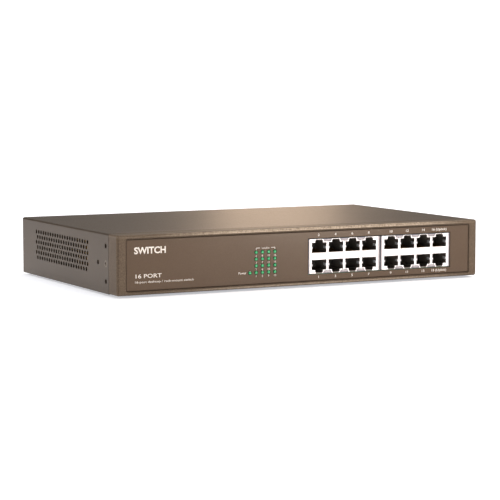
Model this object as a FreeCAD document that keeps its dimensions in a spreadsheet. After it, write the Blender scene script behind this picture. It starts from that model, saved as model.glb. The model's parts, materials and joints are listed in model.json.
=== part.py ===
import FreeCAD, Part
import math
import os
import re
import Sketcher

# Desktop network switch: a folded steel case with a wrapped front bezel, sixteen jacks in two shielded
# blocks, their sprung contacts, sixteen port lamps, a main board and a mains supply.
# Frame: +X to the right seen from the front, the front faces -Y, +Z up. The origin is on the surface that
# the feet stand on, under the middle of the case. All sizes are in millimetres.

# Driving sizes: alias, value, what it is.
SIZES = [
    ("caseWidth", 294.0, "overall width"),
    ("caseDepth", 178.8, "overall depth"),
    ("caseHeight", 42.0, "height of the case without its feet"),
    ("sheetWall", 1.0, "steel of the cover and the tray"),
    ("bendRadius", 1.5, "outer bend of the cover"),
    ("footProud", 1.5, "feet below the case"),
    ("footSeat", 0.4, "depth of the pressed seats for the feet"),
    ("footDiameter", 13.0, "foot"),
    ("footInsetX", 24.0, "foot centre from the side"),
    ("footInsetY", 25.0, "foot centre from the front and the rear"),
    ("footGap", 0.4, "clearance round a foot in its seat"),
    ("bezelWall", 1.5, "bezel round the corners"),
    ("bezelDepth", 14.2, "bezel from front to seam"),
    ("seamGap", 0.4, "gap between bezel and cover"),
    ("faceWall", 1.2, "bezel plate behind the film"),
    ("recessDepth", 1.0, "recess for the film"),
    ("filmWall", 0.3, "printed film"),
    ("filmGap", 0.15, "clearance round the film"),
    ("insetSide", 7.0, "bezel strip left and right of the recess"),
    ("insetLow", 2.6, "bezel strip below the recess"),
    ("insetHigh", 3.2, "bezel strip above the recess"),
    ("insetCorner", 1.2, "corner radius of the recess"),
    ("insetRounding", 0.9, "rounding of the recess's front edge"),
    ("frontRounding", 1.6, "rounding of the bezel's front edges"),
    ("flangeWall", 1.2, "flange of the bezel inside the cover"),
    ("flangeReach", 12.0, "flange behind the seam"),
    ("tabReach", 27.0, "side tab behind the seam"),
    ("tabMargin", 4.0, "side tab from the top and bottom of the case"),
    ("rearInset", 2.0, "rear wall inside the cover's rear edge"),
    ("rearFlange", 9.0, "rear flange of the cover"),
    ("rearFlangeSide", 22.0, "rear flange from the side of the case"),
    ("trayFlange", 12.0, "side flange of the tray"),
    ("ventDiameter", 3.1, "vent hole"),
    ("ventPitch", 4.7, "vent holes along a row"),
    ("ventRowPitch", 3.85, "vent rows"),
    ("ventRowCount", 22.0, "holes in a long row"),
    ("ventRows", 3.0, "long rows, with as many short rows between"),
    ("ventShift", 11.6, "middle of the vent field behind the middle of the case"),
    ("ventLow", 13.95, "lowest vent row above the bottom of the case"),
    ("earHole", 3.3, "tapped hole for a rack ear"),
    ("earInset", 4.8, "first column of holes behind the seam"),
    ("earStep", 13.6, "second column behind the first"),
    ("earSpacing", 24.7, "upper and lower ear hole"),
    ("coverScrew", 3.0, "cover screw shank"),
    ("coverScrewHead", 4.9, "cover screw head"),
    ("coverScrewLength", 5.0, "cover screw"),
    ("slotWidth", 0.7, "cross recess, width"),
    ("slotLength", 2.9, "cross recess, length"),
    ("slotDepth", 0.6, "cross recess, depth"),
    ("screwClearance", 0.2, "hole wider than a screw shank"),
    ("rearScrew", 3.0, "rear cover screw shank"),
    ("panHead", 5.8, "pan head"),
    ("panHeight", 1.8, "pan head, height"),
    ("rearScrewDrop", 5.5, "rear screws below the top of the case"),
    ("rearScrewSide", 37.0, "outer rear screws from the side of the case"),
    ("rivetHead", 5.0, "rivet head"),
    ("rivetShank", 3.0, "rivet shank"),
    ("rivetHeight", 1.0, "rivet head, height"),
    ("rivetInset", 6.0, "rivets behind the seam"),
    ("rivetSpan", 220.0, "outer rivets, centre to centre"),
    ("rivetInner", 60.0, "inner rivets, centre to centre"),
    ("portPitch", 13.97, "jack openings across"),
    ("portColumns", 4.0, "jack columns in a block"),
    ("portWidth", 12.2, "jack opening, width"),
    ("portHeight", 7.4, "jack opening, height without the latch notch"),
    ("portBand", 5.0, "band between the two rows"),
    ("latchWidth", 6.6, "latch notch, width at the opening"),
    ("latchTop", 4.6, "latch notch, width at its end"),
    ("latchStep", 1.2, "straight part of the latch notch"),
    ("cavityDepth", 16.5, "plug space behind the shield"),
    ("cavityGap", 0.25, "housing cavity wider than the shield window"),
    ("blockWidth", 59.4, "shielded block, width"),
    ("blockHeight", 24.8, "shielded block, height"),
    ("blockDepth", 25.5, "shielded block, depth"),
    ("blockGap", 1.45, "gap between the blocks"),
    ("blockRight", 23.85, "right block from the side of the case"),
    ("blockDrop", 0.6, "middle of the blocks below the middle of the case"),
    ("blockSetback", 1.1, "shield behind the front of the bezel"),
    ("blockCut", 0.7, "cut-out round the blocks"),
    ("shieldWall", 0.3, "shield sheet"),
    ("contactPitch", 1.02, "contact wires"),
    ("contactCount", 8.0, "wires in a jack"),
    ("contactWidth", 0.45, "wire, width"),
    ("contactWall", 0.3, "wire, thickness"),
    ("contactLoop", 0.5, "bend of a wire, radius"),
    ("contactReach", 8.6, "sprung arm, length into the jack"),
    ("contactRise", 2.2, "sprung arm, height over its bend"),
    ("contactHook", 1.2, "turned tip of a wire"),
    ("contactInset", 4.2, "bend behind the shield"),
    ("contactSink", 0.1, "bend under the cavity wall"),
    ("grooveDepth", 0.8, "groove for the bends"),
    ("grooveFront", 0.3, "groove in front of the bends"),
    ("grooveBack", 9.8, "groove behind the bends, to past the tips"),
    ("grooveSide", 0.45, "groove wider than the wires, each side"),
    ("pinWidth", 0.45, "jack solder pin"),
    ("pinLength", 1.5, "jack solder pin below the board"),
    ("pinInset", 14.0, "first pin row behind the shield"),
    ("pinStep", 5.08, "second pin row behind the first"),
    ("lampDiameter", 2.9, "port lamp"),
    ("lampHole", 3.1, "lamp hole"),
    ("lampPitchX", 5.0, "lamps across"),
    ("lampPitchZ", 4.8, "lamp rows"),
    ("lampCount", 4.0, "lamps in a row and in a column"),
    ("lampLeft", 42.6, "first lamp left of the blocks"),
    ("lampDrop", 9.25, "lowest lamp row below the middle of the blocks"),
    ("lampPower", 5.0, "power lamp left of the first lamp"),
    ("lampDome", 1.0, "dome of a lamp"),
    ("lampShy", 0.05, "dome tip behind the front of the bezel"),
    ("lampLength", 5.6, "lamp from its dome to its rear"),
    ("holderMargin", 3.0, "lamp holder round the lamps"),
    ("holderDepth", 7.0, "lamp holder"),
    ("holderGap", 0.3, "lamp holder behind the front plate"),
    ("boardWall", 1.6, "circuit boards"),
    ("boardLeft", 54.0, "main board left of the blocks"),
    ("boardRight", 3.5, "main board right of the blocks"),
    ("boardFront", 3.4, "main board behind the front"),
    ("boardDepth", 124.0, "main board"),
    ("supplySide", 12.0, "supply board from the side of the case"),
    ("supplyWidth", 72.0, "supply board"),
    ("supplyDepth", 100.0, "supply board"),
    ("supplyRear", 11.0, "supply board from the rear wall"),
    ("boardHoleInset", 5.0, "board screws from the board's edges"),
    ("boardHoleFront", 34.0, "front board screws behind the main board's front edge"),
    ("standoffDiameter", 6.0, "standoff"),
    ("boardScrew", 2.5, "board screw shank"),
    ("boardScrewLength", 5.5, "board screw below the board's top"),
    ("sheetInsulator", 0.3, "insulating sheet"),
    ("insulatorGap", 0.5, "insulating sheet round a standoff"),
    ("canEdge", 0.5, "edge of a can round its sunk top"),
    ("inletSide", 50.0, "mains inlet from the side of the case"),
    ("inletWidth", 28.0, "inlet body, width"),
    ("inletHeight", 20.5, "inlet body, height"),
    ("inletDepth", 17.0, "inlet body behind the rear wall"),
    ("inletFlangeWidth", 49.0, "inlet flange, width"),
    ("inletFlangeHeight", 23.5, "inlet flange, height"),
    ("inletFlangeWall", 1.8, "inlet flange"),
    ("inletMouthWidth", 24.4, "inlet socket, width"),
    ("inletMouthHeight", 16.8, "inlet socket, height"),
    ("inletMouthChamfer", 4.8, "inlet socket, corner chamfer"),
    ("inletMouthDepth", 15.5, "inlet socket, depth"),
    ("inletScrewSpan", 40.0, "inlet screws"),
    ("inletScrew", 3.0, "inlet screw shank"),
    ("inletScrewHead", 5.4, "inlet screw head"),
    ("inletScrewLength", 6.0, "inlet screw"),
    ("bladeWidth", 2.0, "inlet blade, thickness"),
    ("bladeHeight", 4.0, "inlet blade, height"),
    ("bladeShy", 3.0, "inlet blade behind the mouth"),
    ("bladeSpan", 14.0, "line and neutral blades"),
    ("bladeEarthRise", 4.0, "earth blade above the others"),
    ("bladeTail", 7.0, "blade tail behind the inlet"),
    ("earthOffset", 40.0, "earth screw right of the inlet"),
    ("earthHeight", 13.0, "earth screw above the bottom of the case"),
    ("earthScrew", 4.0, "earth screw shank"),
    ("earthHead", 7.0, "earth screw head"),
    ("earthNut", 7.0, "earth nut, across"),
    ("wireDiameter", 1.8, "inside wire"),
    ("wireBend", 4.0, "inside wire, bend radius"),
    ("wireArch", 6.0, "harness arch over its plugs"),
    ("wireDrop", 8.0, "inlet wires come down over their plug"),
    ("wireNear", 7.0, "first inlet wire, straight run from its blade"),
    ("wireFar", 12.0, "second inlet wire, straight run from its blade"),
    ("earthArch", 9.0, "earth wire over its nut"),
    ("wireSpread", 2.3, "wires of a plug from its middle"),
    ("plugHeight", 5.0, "harness plug on its header"),
]

# Pieces that stand on a board: name, centre from the board's left and front edges, length, width, height.
MAIN_PIECES = [
    ("switchChip", 92.0, 84.0, 28.0, 28.0, 3.4),
    ("heatSink", 92.0, 84.0, 36.0, 36.0, 12.0),
    ("lanTransformer", 60.0, 40.0, 28.0, 12.0, 6.0),
    ("crystal", 122.0, 86.0, 11.4, 4.7, 3.6),
    ("memoryChip", 124.0, 98.0, 5.2, 5.3, 1.9),
    ("boardCapacitor", 40.0, 112.0, 6.3, 6.3, 11.0),
    ("mainHeader", 14.0, 68.0, 10.0, 8.0, 9.0),
]
SUPPLY_PIECES = [
    ("acHeader", 11.0, 84.0, 12.0, 9.0, 9.0),
    ("fuse", 31.0, 84.0, 20.0, 5.2, 5.2),
    ("xCapacitor", 58.0, 80.0, 18.0, 9.0, 11.0),
    ("choke", 16.0, 66.0, 20.0, 16.0, 2.0),
    ("bulkCapacitor", 54.0, 58.0, 18.0, 18.0, 25.0),
    ("transformer", 20.0, 40.0, 26.0, 24.0, 22.0),
    ("supplySink", 52.0, 40.0, 30.0, 2.0, 22.0),
    ("outputCapacitor", 14.0, 14.0, 8.0, 8.0, 14.0),
    ("supplyHeader", 62.0, 12.0, 10.0, 8.0, 9.0),
]
DETAILS = [
    ("transformerPitch", 31.0, "LAN transformers, centre to centre"),
    ("capacitorPitch", 12.0, "board capacitors"),
    ("outputPitch", 11.0, "output capacitors"),
    ("finWall", 1.2, "heat sink fin"),
    ("finPitch", 4.35, "heat sink fins"),
    ("finCount", 9.0, "heat sink fins"),
    ("finBase", 2.4, "heat sink base"),
    ("coreHeight", 6.0, "transformer core band"),
    ("coreMargin", 3.0, "transformer core round its winding"),
    ("chokeRing", 6.0, "choke ring, middle radius"),
    ("chokeTube", 2.6, "choke ring, half thickness"),
    ("capLength", 4.5, "fuse end cap"),
    ("capMargin", 0.3, "fuse end cap round the glass"),
    ("ringWall", 0.8, "earth ring"),
]

# Places worked out from the sizes above.
PLACES = {
    "bottom": "footProud",
    "top": "footProud + caseHeight",
    "side": "caseWidth / 2",
    "front": "-caseDepth / 2",
    "rear": "caseDepth / 2",
    "middleHeight": "footProud + caseHeight / 2",
    "innerSide": "side - sheetWall",
    "innerTop": "top - sheetWall",
    "floor": "bottom + sheetWall",
    "seam": "front + bezelDepth",
    "coverFront": "seam + seamGap",
    "wallRear": "rear - rearInset",
    "wallFront": "wallRear - sheetWall",
    "earColumn": "coverFront + earInset",
    "earHeight": "middleHeight - 0.15",
    "plateFront": "front + recessDepth",
    "plateRear": "plateFront + faceWall",
    "filmFront": "plateFront - filmWall",
    "insetLeft": "-side + insetSide",
    "insetRight": "side - insetSide",
    "insetBottom": "bottom + insetLow",
    "insetTop": "top - insetHigh",
    "blockMiddle": "middleHeight - blockDrop",
    "blockBottom": "blockMiddle - blockHeight / 2",
    "blockTop": "blockMiddle + blockHeight / 2",
    "blockFront": "front + blockSetback",
    "blockRear": "blockFront + blockDepth",
    "jackRight": "side - blockRight",
    "jackLeft": "jackRight - 2 * blockWidth - blockGap",
    "boardTop": "blockBottom",
    "boardBottom": "boardTop - boardWall",
    "mainLeft": "jackLeft - boardLeft",
    "mainRight": "jackRight + boardRight",
    "mainFront": "front + boardFront",
    "mainRear": "mainFront + boardDepth",
    "supplyLeft": "-side + supplySide",
    "supplyRight": "supplyLeft + supplyWidth",
    "supplyBack": "wallFront - supplyRear",
    "supplyFront": "supplyBack - supplyDepth",
    "lampX": "jackLeft - lampLeft",
    "lampZ": "blockMiddle - lampDrop",
    "powerLampX": "lampX - lampPower",
    "lampShoulder": "front + lampShy + lampDome",
    "lampRear": "lampShoulder + lampLength",
    "inletX": "-side + inletSide",
    "inletZ": "middleHeight",
    "earthX": "inletX + earthOffset",
    "earthZ": "bottom + earthHeight",
    "footX": "side - footInsetX",
    "footY": "rear - footInsetY",
}

PLANES = {"X": "YZ_Plane", "Y": "XZ_Plane", "Z": "XY_Plane"}
TURNS = {
    "X": FreeCAD.Rotation(FreeCAD.Vector(0, 1, 0), 90),
    "Y": FreeCAD.Rotation(FreeCAD.Vector(1, 0, 0), -90),
    "Z": FreeCAD.Rotation(),
}
TINY = 0.001
NEAR_ZERO = "0.001"  # a sketch dimension can't be zero

doc = FreeCAD.newDocument("NetworkSwitch")
sheet = doc.addObject("Spreadsheet::Sheet", "Sizes")
nodes = []


def fill_sheet():
    rows = list(SIZES) + list(DETAILS)
    for name, x, y, length, width, height in MAIN_PIECES + SUPPLY_PIECES:
        rows.append((name + "X", x, "from the board's left edge"))
        rows.append((name + "Y", y, "from the board's front edge"))
        rows.append((name + "Length", length, "size along X"))
        rows.append((name + "Width", width, "size along Y"))
        rows.append((name + "Height", height, "size along Z"))
    for row, (alias, value, note) in enumerate(rows, 1):
        sheet.set(f"A{row}", alias)
        sheet.set(f"B{row}", str(value))
        sheet.set(f"C{row}", note)
        sheet.setAlias(f"B{row}", alias)
    doc.recompute()
    return {alias for alias, value, note in rows}


ALIASES = fill_sheet()


def formula(text):
    # A size's name becomes a reference to its cell, and a place's name the formula that it stands for.
    def swap(match):
        word = match.group()
        if word in ALIASES:
            return "Sizes." + word
        if word in PLACES:
            return "(" + formula(PLACES[word]) + ")"
        return word
    return re.sub(r"[A-Za-z]\w*", swap, str(text))


def number(text):
    return float(sheet.evalExpression(formula(text)))


def bind(item, **properties):
    for name, text in properties.items():
        item.setExpression(name, formula(text))


def put(item, x, y, z):
    for axis, text in zip("xyz", (x, y, z)):
        item.setExpression("Placement.Base." + axis, formula(text))


def node(item, label):
    item.Label = label
    nodes.append(item)
    return item


# Solid primitives

def block(name, x, y, z):
    item = doc.addObject("Part::Box", name)
    sides = (("Length", x), ("Width", y), ("Height", z))
    for side, (low, high) in sides:
        item.setExpression(side, formula(f"({high}) - ({low})"))
    put(item, x[0], y[0], z[0])
    return item


def rod(name, axis, at, span, radius, tip=None):
    # A cylinder along an axis, or a cone where a second radius is given.
    low, high = span
    item = doc.addObject("Part::Cone" if tip else "Part::Cylinder", name)
    item.Placement = FreeCAD.Placement(FreeCAD.Vector(), TURNS[axis])
    bind(item, Height=f"({high}) - ({low})")
    if tip:
        bind(item, Radius1=radius, Radius2=tip)
    else:
        bind(item, Radius=radius)
    base = list(at)
    base.insert("XYZ".index(axis), low)
    put(item, *base)
    return item


def cut(name, base, tool):
    item = doc.addObject("Part::Cut", name)
    item.Base = base
    item.Tool = tool
    return item


def fuse(name, *items):
    item = doc.addObject("Part::MultiFuse", name)
    item.Shapes = list(items)
    return item


def group(name, items):
    item = doc.addObject("Part::Compound", name)
    item.Links = list(items)
    return item


# Sketched features

def new_body(name):
    body = doc.addObject("PartDesign::Body", name)
    body.AllowCompound = True
    return body


def origin_item(body, role):
    return next(item for item in body.Origin.OriginFeatures if item.Role == role)


def tie(sketch, kind, geometry, point, text):
    place = number(text)
    index = sketch.addConstraint(Sketcher.Constraint(kind, -1, 1, geometry, point, place))
    sketch.setExpression(f"Constraints[{index}]", formula(text))


def add_circle(sketch, x, y, diameter):
    centre = FreeCAD.Vector(number(x), number(y), 0)
    index = sketch.addGeometry(Part.Circle(centre, FreeCAD.Vector(0, 0, 1), number(diameter) / 2))
    tie(sketch, "DistanceX", index, 3, x)
    tie(sketch, "DistanceY", index, 3, y)
    size = sketch.addConstraint(Sketcher.Constraint("Diameter", index, number(diameter)))
    sketch.setExpression(f"Constraints[{size}]", formula(diameter))


def add_polygon(sketch, corners):
    first = sketch.GeometryCount
    points = [FreeCAD.Vector(number(x), number(y), 0) for x, y in corners]
    count = len(points)
    for step in range(count):
        sketch.addGeometry(Part.LineSegment(points[step], points[(step + 1) % count]))
    for step in range(count):
        following = first + (step + 1) % count
        sketch.addConstraint(Sketcher.Constraint("Coincident", first + step, 2, following, 1))
    for step, (x, y) in enumerate(corners):
        tie(sketch, "DistanceX", first + step, 1, x)
        tie(sketch, "DistanceY", first + step, 1, y)


def rectangle(x, y):
    return [(x[0], y[0]), (x[1], y[0]), (x[1], y[1]), (x[0], y[1])]


def draw(body, name, axis, level, loops):
    # Sketches across Y look along -Y, so their offset has the other sign.
    sketch = body.newObject("Sketcher::SketchObject", name)
    sketch.AttachmentSupport = (origin_item(body, PLANES[axis]), "")
    sketch.MapMode = "FlatFace"
    offset = f"-({level})" if axis == "Y" else level
    sketch.setExpression("AttachmentOffset.Base.z", formula(offset))
    for loop in loops:
        if isinstance(loop, list):
            add_polygon(sketch, loop)
        else:
            add_circle(sketch, *loop)
    return sketch


def extrude(body, kind, name, axis, span, *loops):
    # Adds (Pad) or cuts (Pocket) the loops along an axis, from the span's low place to its high place.
    low, high = span
    sketch = draw(body, name + "Sketch", axis, high if axis == "Y" else low, loops)
    before = volume(body)
    feature = body.newObject("PartDesign::" + kind, name)
    feature.Profile = sketch
    feature.Reversed = kind == "Pocket"
    bind(feature, Length=f"({high}) - ({low})")
    body.Tip = feature
    doc.recompute()
    if abs(volume(body) - before) < TINY:
        raise RuntimeError(f"{name} changed nothing")
    return feature


def pad(body, name, axis, span, *loops):
    return extrude(body, "Pad", name, axis, span, *loops)


def pocket(body, name, axis, span, *loops):
    return extrude(body, "Pocket", name, axis, span, *loops)


def volume(body):
    return 0.0 if body.Shape.isNull() else body.Shape.Volume


def repeat(body, name, features, first, second=None):
    # A row of copies, or a grid where a second direction is given: axis, spacing, count.
    pattern = body.newObject("PartDesign::LinearPattern", name)
    pattern.Originals = list(features)
    for ending, steps in (("", first), ("2", second)):
        if steps:
            axis, spacing, count = steps
            setattr(pattern, "Direction" + ending, (origin_item(body, axis + "_Axis"), [""]))
            setattr(pattern, "Mode" + ending, "Spacing")
            pattern.setExpression("Offset" + ending, formula(spacing))
            pattern.setExpression("Occurrences" + ending, formula(count))
            # -1 keeps the regular spacing at every step.
            setattr(pattern, "Spacings" + ending, [-1.0] * (round(number(count)) - 1))
    body.Tip = pattern
    doc.recompute()
    return pattern


def round_edges(body, name, radius, wanted):
    # Rounds the edges of the body so far that pass the test, which is given each edge's box.
    base = body.Tip
    picked = [f"Edge{index}" for index, edge in enumerate(base.Shape.Edges, 1) if wanted(edge.BoundBox)]
    if not picked:
        raise RuntimeError(f"{name} found no edges")
    fillet = body.newObject("PartDesign::Fillet", name)
    fillet.Base = (base, picked)
    bind(fillet, Radius=radius)
    body.Tip = fillet
    doc.recompute()
    return fillet


def near(value, text):
    return abs(value - number(text)) < TINY


def along(box, axis):
    # The edge is a straight one along the axis.
    spans = {"X": box.XLength, "Y": box.YLength, "Z": box.ZLength}
    length = spans.pop(axis)
    return length > 0.1 and max(spans.values()) < TINY


# Case

def ear_holes():
    # The holes for a rack ear, upper, lower and the single one behind them.
    half = "earSpacing / 2"
    return [
        ("earColumn", f"earHeight + {half}", "earHole"),
        ("earColumn", f"earHeight - {half}", "earHole"),
        ("earColumn + earStep", "earHeight", "earHole"),
    ]


def rear_screw_places():
    return ["-side + rearScrewSide", NEAR_ZERO, "side - rearScrewSide"]


def top_cover():
    body = new_body("TopCover")
    length = ("coverFront", "rear")
    pad(body, "CoverBlank", "Y", length, rectangle(("-side", "side"), ("bottom", "top")))
    pocket(body, "CoverInside", "Y", length,
           rectangle(("-innerSide", "innerSide"), ("bottom - sheetWall", "innerTop")))
    round_edges(body, "OuterBends", "bendRadius",
                lambda box: along(box, "Y") and near(box.ZMax, "top"))
    round_edges(body, "InnerBends", "bendRadius - sheetWall",
                lambda box: along(box, "Y") and near(box.ZMax, "innerTop"))
    pad(body, "RearFlange", "Y", ("wallFront - sheetWall", "wallFront"),
        rectangle(("-side + rearFlangeSide", "side - rearFlangeSide"), ("top - rearFlange", "innerTop")))
    holes = [(x, "top - rearScrewDrop", "rearScrew + screwClearance") for x in rear_screw_places()]
    pocket(body, "RearScrewHoles", "Y", ("wallFront - sheetWall", "wallFront"), *holes)
    across = ("-side", "side")
    pocket(body, "EarHoles", "X", across, *ear_holes())
    row_start = "ventShift - (ventRowCount - 1) * ventPitch / 2"
    long_row = pocket(body, "LongRowVent", "X", across,
                      (row_start, "bottom + ventLow + ventRowPitch", "ventDiameter"))
    repeat(body, "LongRows", [long_row], ("Y", "ventPitch", "ventRowCount"),
           ("Z", "2 * ventRowPitch", "ventRows"))
    short_row = pocket(body, "ShortRowVent", "X", across,
                       (f"{row_start} + ventPitch / 2", "bottom + ventLow", "ventDiameter"))
    repeat(body, "ShortRows", [short_row], ("Y", "ventPitch", "ventRowCount - 1"),
           ("Z", "2 * ventRowPitch", "ventRows"))
    sink = countersink_tools("CoverSink", "screwClearance / 2")
    return node(cut("TopCoverCut", body, sink), "top_cover")


def countersink_tools(name, gap):
    # The two countersunk screws' outline, grown by a gap, one on each side of the case.
    tools = []
    for sign, hand in ((-1, "Left"), (1, "Right")):
        edge = "-side" if sign < 0 else "side"
        depth = "(coverScrewHead - coverScrew) / 2"
        small = f"coverScrew / 2 + {gap}"
        large = f"coverScrewHead / 2 + {gap}"
        if sign < 0:
            cone = rod(name + hand + "Head", "X", ("earColumn", "earHeight"),
                       (edge, f"{edge} + {depth}"), large, small)
            shank = rod(name + hand + "Shank", "X", ("earColumn", "earHeight"),
                        (edge, f"{edge} + coverScrewLength"), small)
        else:
            cone = rod(name + hand + "Head", "X", ("earColumn", "earHeight"),
                       (f"{edge} - {depth}", edge), small, large)
            shank = rod(name + hand + "Shank", "X", ("earColumn", "earHeight"),
                        (f"{edge} - coverScrewLength", edge), small)
        tools.append(fuse(name + hand, cone, shank))
    return group(name, tools)


def cover_screws():
    outline = countersink_tools("CoverScrew", "0")
    slots = []
    half = "slotLength / 2"
    thin = "slotWidth / 2"
    for hand, low in (("Left", "-side"), ("Right", "side - slotDepth")):
        span = (low, f"{low} + slotDepth")
        slots.append(block("SlotUp" + hand, span, (f"earColumn - {thin}", f"earColumn + {thin}"),
                           (f"earHeight - {half}", f"earHeight + {half}")))
        slots.append(block("SlotAcross" + hand, span, (f"earColumn - {half}", f"earColumn + {half}"),
                           (f"earHeight - {thin}", f"earHeight + {thin}")))
    return node(cut("CoverScrewsCut", outline, fuse("CoverScrewSlots", *slots)), "cover_screws")


def rivet_places():
    return ["-rivetSpan / 2", "-rivetInner / 2", "rivetInner / 2", "rivetSpan / 2"]


def front_bezel():
    body = new_body("FrontBezel")
    pad(body, "BezelBlank", "Y", ("front", "seam"), rectangle(("-side", "side"), ("bottom", "top")))
    pocket(body, "BezelInside", "Y", ("plateRear", "seam"),
           rectangle(("-side + bezelWall", "side - bezelWall"), ("bottom + bezelWall", "top - bezelWall")))
    round_edges(body, "CornerRounding", "bendRadius",
                lambda box: along(box, "Y") and near(abs(box.XMax), "side"))
    round_edges(body, "FrontRounding", "frontRounding",
                lambda box: near(box.YMax, "front") and near(box.YMin, "front"))
    pocket(body, "FilmRecess", "Y", ("front", "plateFront"),
           rectangle(("insetLeft", "insetRight"), ("insetBottom", "insetTop")))
    round_edges(body, "RecessCorners", "insetCorner",
                lambda box: along(box, "Y") and near(abs(box.XMax), "insetRight"))
    round_edges(body, "RecessRounding", "insetRounding",
                lambda box: near(box.YMax, "front") and near(box.YMin, "front")
                and box.ZMax < number("insetTop") + TINY and box.ZMin > number("insetBottom") - TINY)
    outer = rectangle(("-innerSide", "innerSide"), ("floor", "innerTop"))
    inner = rectangle(("-innerSide + flangeWall", "innerSide - flangeWall"),
                      ("floor + flangeWall", "innerTop - flangeWall"))
    pad(body, "InnerFlange", "Y", ("seam - bezelWall", "coverFront + flangeReach"), outer, inner)
    round_edges(body, "FlangeBends", "bendRadius - sheetWall",
                lambda box: along(box, "Y") and near(abs(box.XMax), "innerSide")
                and near(box.ZMax, "innerTop"))
    tab_height = ("bottom + tabMargin", "top - tabMargin")
    tabs = [rectangle((low, f"{low} + flangeWall"), tab_height)
            for low in ("-innerSide", "innerSide - flangeWall")]
    pad(body, "SideTabs", "Y", ("coverFront + flangeReach", "coverFront + tabReach"), *tabs)
    pocket(body, "TabHoles", "X", ("-side", "side"),
           *ear_holes(), ("earColumn", "earHeight", "coverScrew"))
    rivets = [(x, "coverFront + rivetInset", "rivetShank") for x in rivet_places()]
    pocket(body, "RivetHoles", "Z", ("floor", "floor + flangeWall"), *rivets)
    pocket(body, "JackCutOut", "Y", ("plateFront", "plateRear"), jack_cut_out())
    face_holes(body, "Bezel", ("plateFront", "plateRear"))
    return node(body, "front_bezel")


def jack_cut_out():
    return rectangle(("jackLeft - blockCut", "jackRight + blockCut"),
                     ("blockBottom - blockCut", "blockTop + blockCut"))


def face_holes(body, name, span):
    # Holes for the grid of port lamps and for the power lamp.
    hole = pocket(body, name + "LampHole", "Y", span, ("lampX", "lampZ", "lampHole"))
    repeat(body, name + "LampHoles", [hole], ("X", "lampPitchX", "lampCount"),
           ("Z", "lampPitchZ", "lampCount"))
    pocket(body, name + "PowerLampHole", "Y", span, ("powerLampX", "lampZ", "lampHole"))


def front_film():
    body = new_body("FrontFilm")
    span = ("filmFront", "plateFront")
    pad(body, "FilmSheet", "Y", span,
        rectangle(("insetLeft + filmGap", "insetRight - filmGap"),
                  ("insetBottom + filmGap", "insetTop - filmGap")))
    round_edges(body, "FilmCorners", "insetCorner", lambda box: along(box, "Y"))
    pocket(body, "FilmCutOut", "Y", span, jack_cut_out())
    face_holes(body, "Film", span)
    return node(body, "front_film")


def base_tray():
    body = new_body("BaseTray")
    pad(body, "TrayFloor", "Z", ("bottom", "floor"),
        rectangle(("-innerSide", "innerSide"), ("coverFront", "wallRear")))
    pad(body, "RearWall", "Y", ("wallFront", "wallRear"),
        rectangle(("-innerSide", "innerSide"), ("floor", "innerTop - bendRadius + sheetWall")))
    flanges = [rectangle((low, f"{low} + sheetWall"), ("floor", "floor + trayFlange"))
               for low in ("-innerSide", "innerSide - sheetWall")]
    pad(body, "SideFlanges", "Y", ("coverFront + tabReach + seamGap", "wallFront"), *flanges)
    seats = [(x, y, "footDiameter + footGap") for x in ("-footX", "footX") for y in ("-footY", "footY")]
    pocket(body, "FootSeats", "Z", ("bottom", "bottom + footSeat"), *seats)
    rivets = [(x, "coverFront + rivetInset", "rivetShank") for x in rivet_places()]
    pocket(body, "TrayRivetHoles", "Z", ("bottom", "floor"), *rivets)
    half_width = "inletWidth / 2"
    half_height = "inletHeight / 2"
    opening = rectangle((f"inletX - {half_width}", f"inletX + {half_width}"),
                        (f"inletZ - {half_height}", f"inletZ + {half_height}"))
    screws = [(f"inletX + {sign} * inletScrewSpan / 2", "inletZ",
               "inletScrew + screwClearance") for sign in (-1, 1)]
    cover_holes = [(x, "top - rearScrewDrop", "rearScrew + screwClearance") for x in rear_screw_places()]
    pocket(body, "RearOpenings", "Y", ("wallFront", "wallRear"), opening, *screws, *cover_holes,
           ("earthX", "earthZ", "earthScrew + screwClearance"))
    return node(body, "base_tray")


def rubber_feet():
    feet = []
    for x in ("-footX", "footX"):
        for y in ("-footY", "footY"):
            index = len(feet) + 1
            rim = rod(f"FootRim{index}", "Z", (x, y), ("0", "bottom / 2"), "footDiameter / 2 - 0.6",
                      "footDiameter / 2")
            pad_part = rod(f"FootPad{index}", "Z", (x, y), ("bottom / 2", "bottom + footSeat"),
                           "footDiameter / 2")
            feet.append(fuse(f"Foot{index}", rim, pad_part))
    return node(group("Feet", feet), "rubber_feet")


def pan_screw(name, axis, at, seat, direction, shank, length, head="panHead", height="panHeight"):
    # A pan-head screw whose head sits on a face: direction +1 puts the head on the high side of the seat.
    if direction > 0:
        shank_span = (f"{seat} - ({length})", seat)
        head_span = (seat, f"{seat} + {height}")
        slot_span = (f"{seat} + {height} - slotDepth", f"{seat} + {height}")
    else:
        shank_span = (seat, f"{seat} + {length}")
        head_span = (f"{seat} - {height}", seat)
        slot_span = (f"{seat} - {height}", f"{seat} - {height} + slotDepth")
    body = fuse(name + "Body", rod(name + "Head", axis, at, head_span, f"{head} / 2"),
                rod(name + "Shank", axis, at, shank_span, f"{shank} / 2"))
    arms = []
    for turn, (wide, tall) in enumerate((("slotLength", "slotWidth"), ("slotWidth", "slotLength"))):
        spans = [(f"{at[0]} - {wide} / 2", f"{at[0]} + {wide} / 2"),
                 (f"{at[1]} - {tall} / 2", f"{at[1]} + {tall} / 2")]
        spans.insert("XYZ".index(axis), slot_span)
        arms.append(block(f"{name}Slot{turn}", *spans))
    return cut(name, body, fuse(name + "Slots", *arms))


def rear_cover_screws():
    screws = [pan_screw(f"RearScrew{index}", "Y", (x, "top - rearScrewDrop"), "wallRear", 1,
                        "rearScrew", "coverScrewLength")
              for index, x in enumerate(rear_screw_places(), 1)]
    return node(group("RearScrews", screws), "rear_cover_screws")


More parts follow.
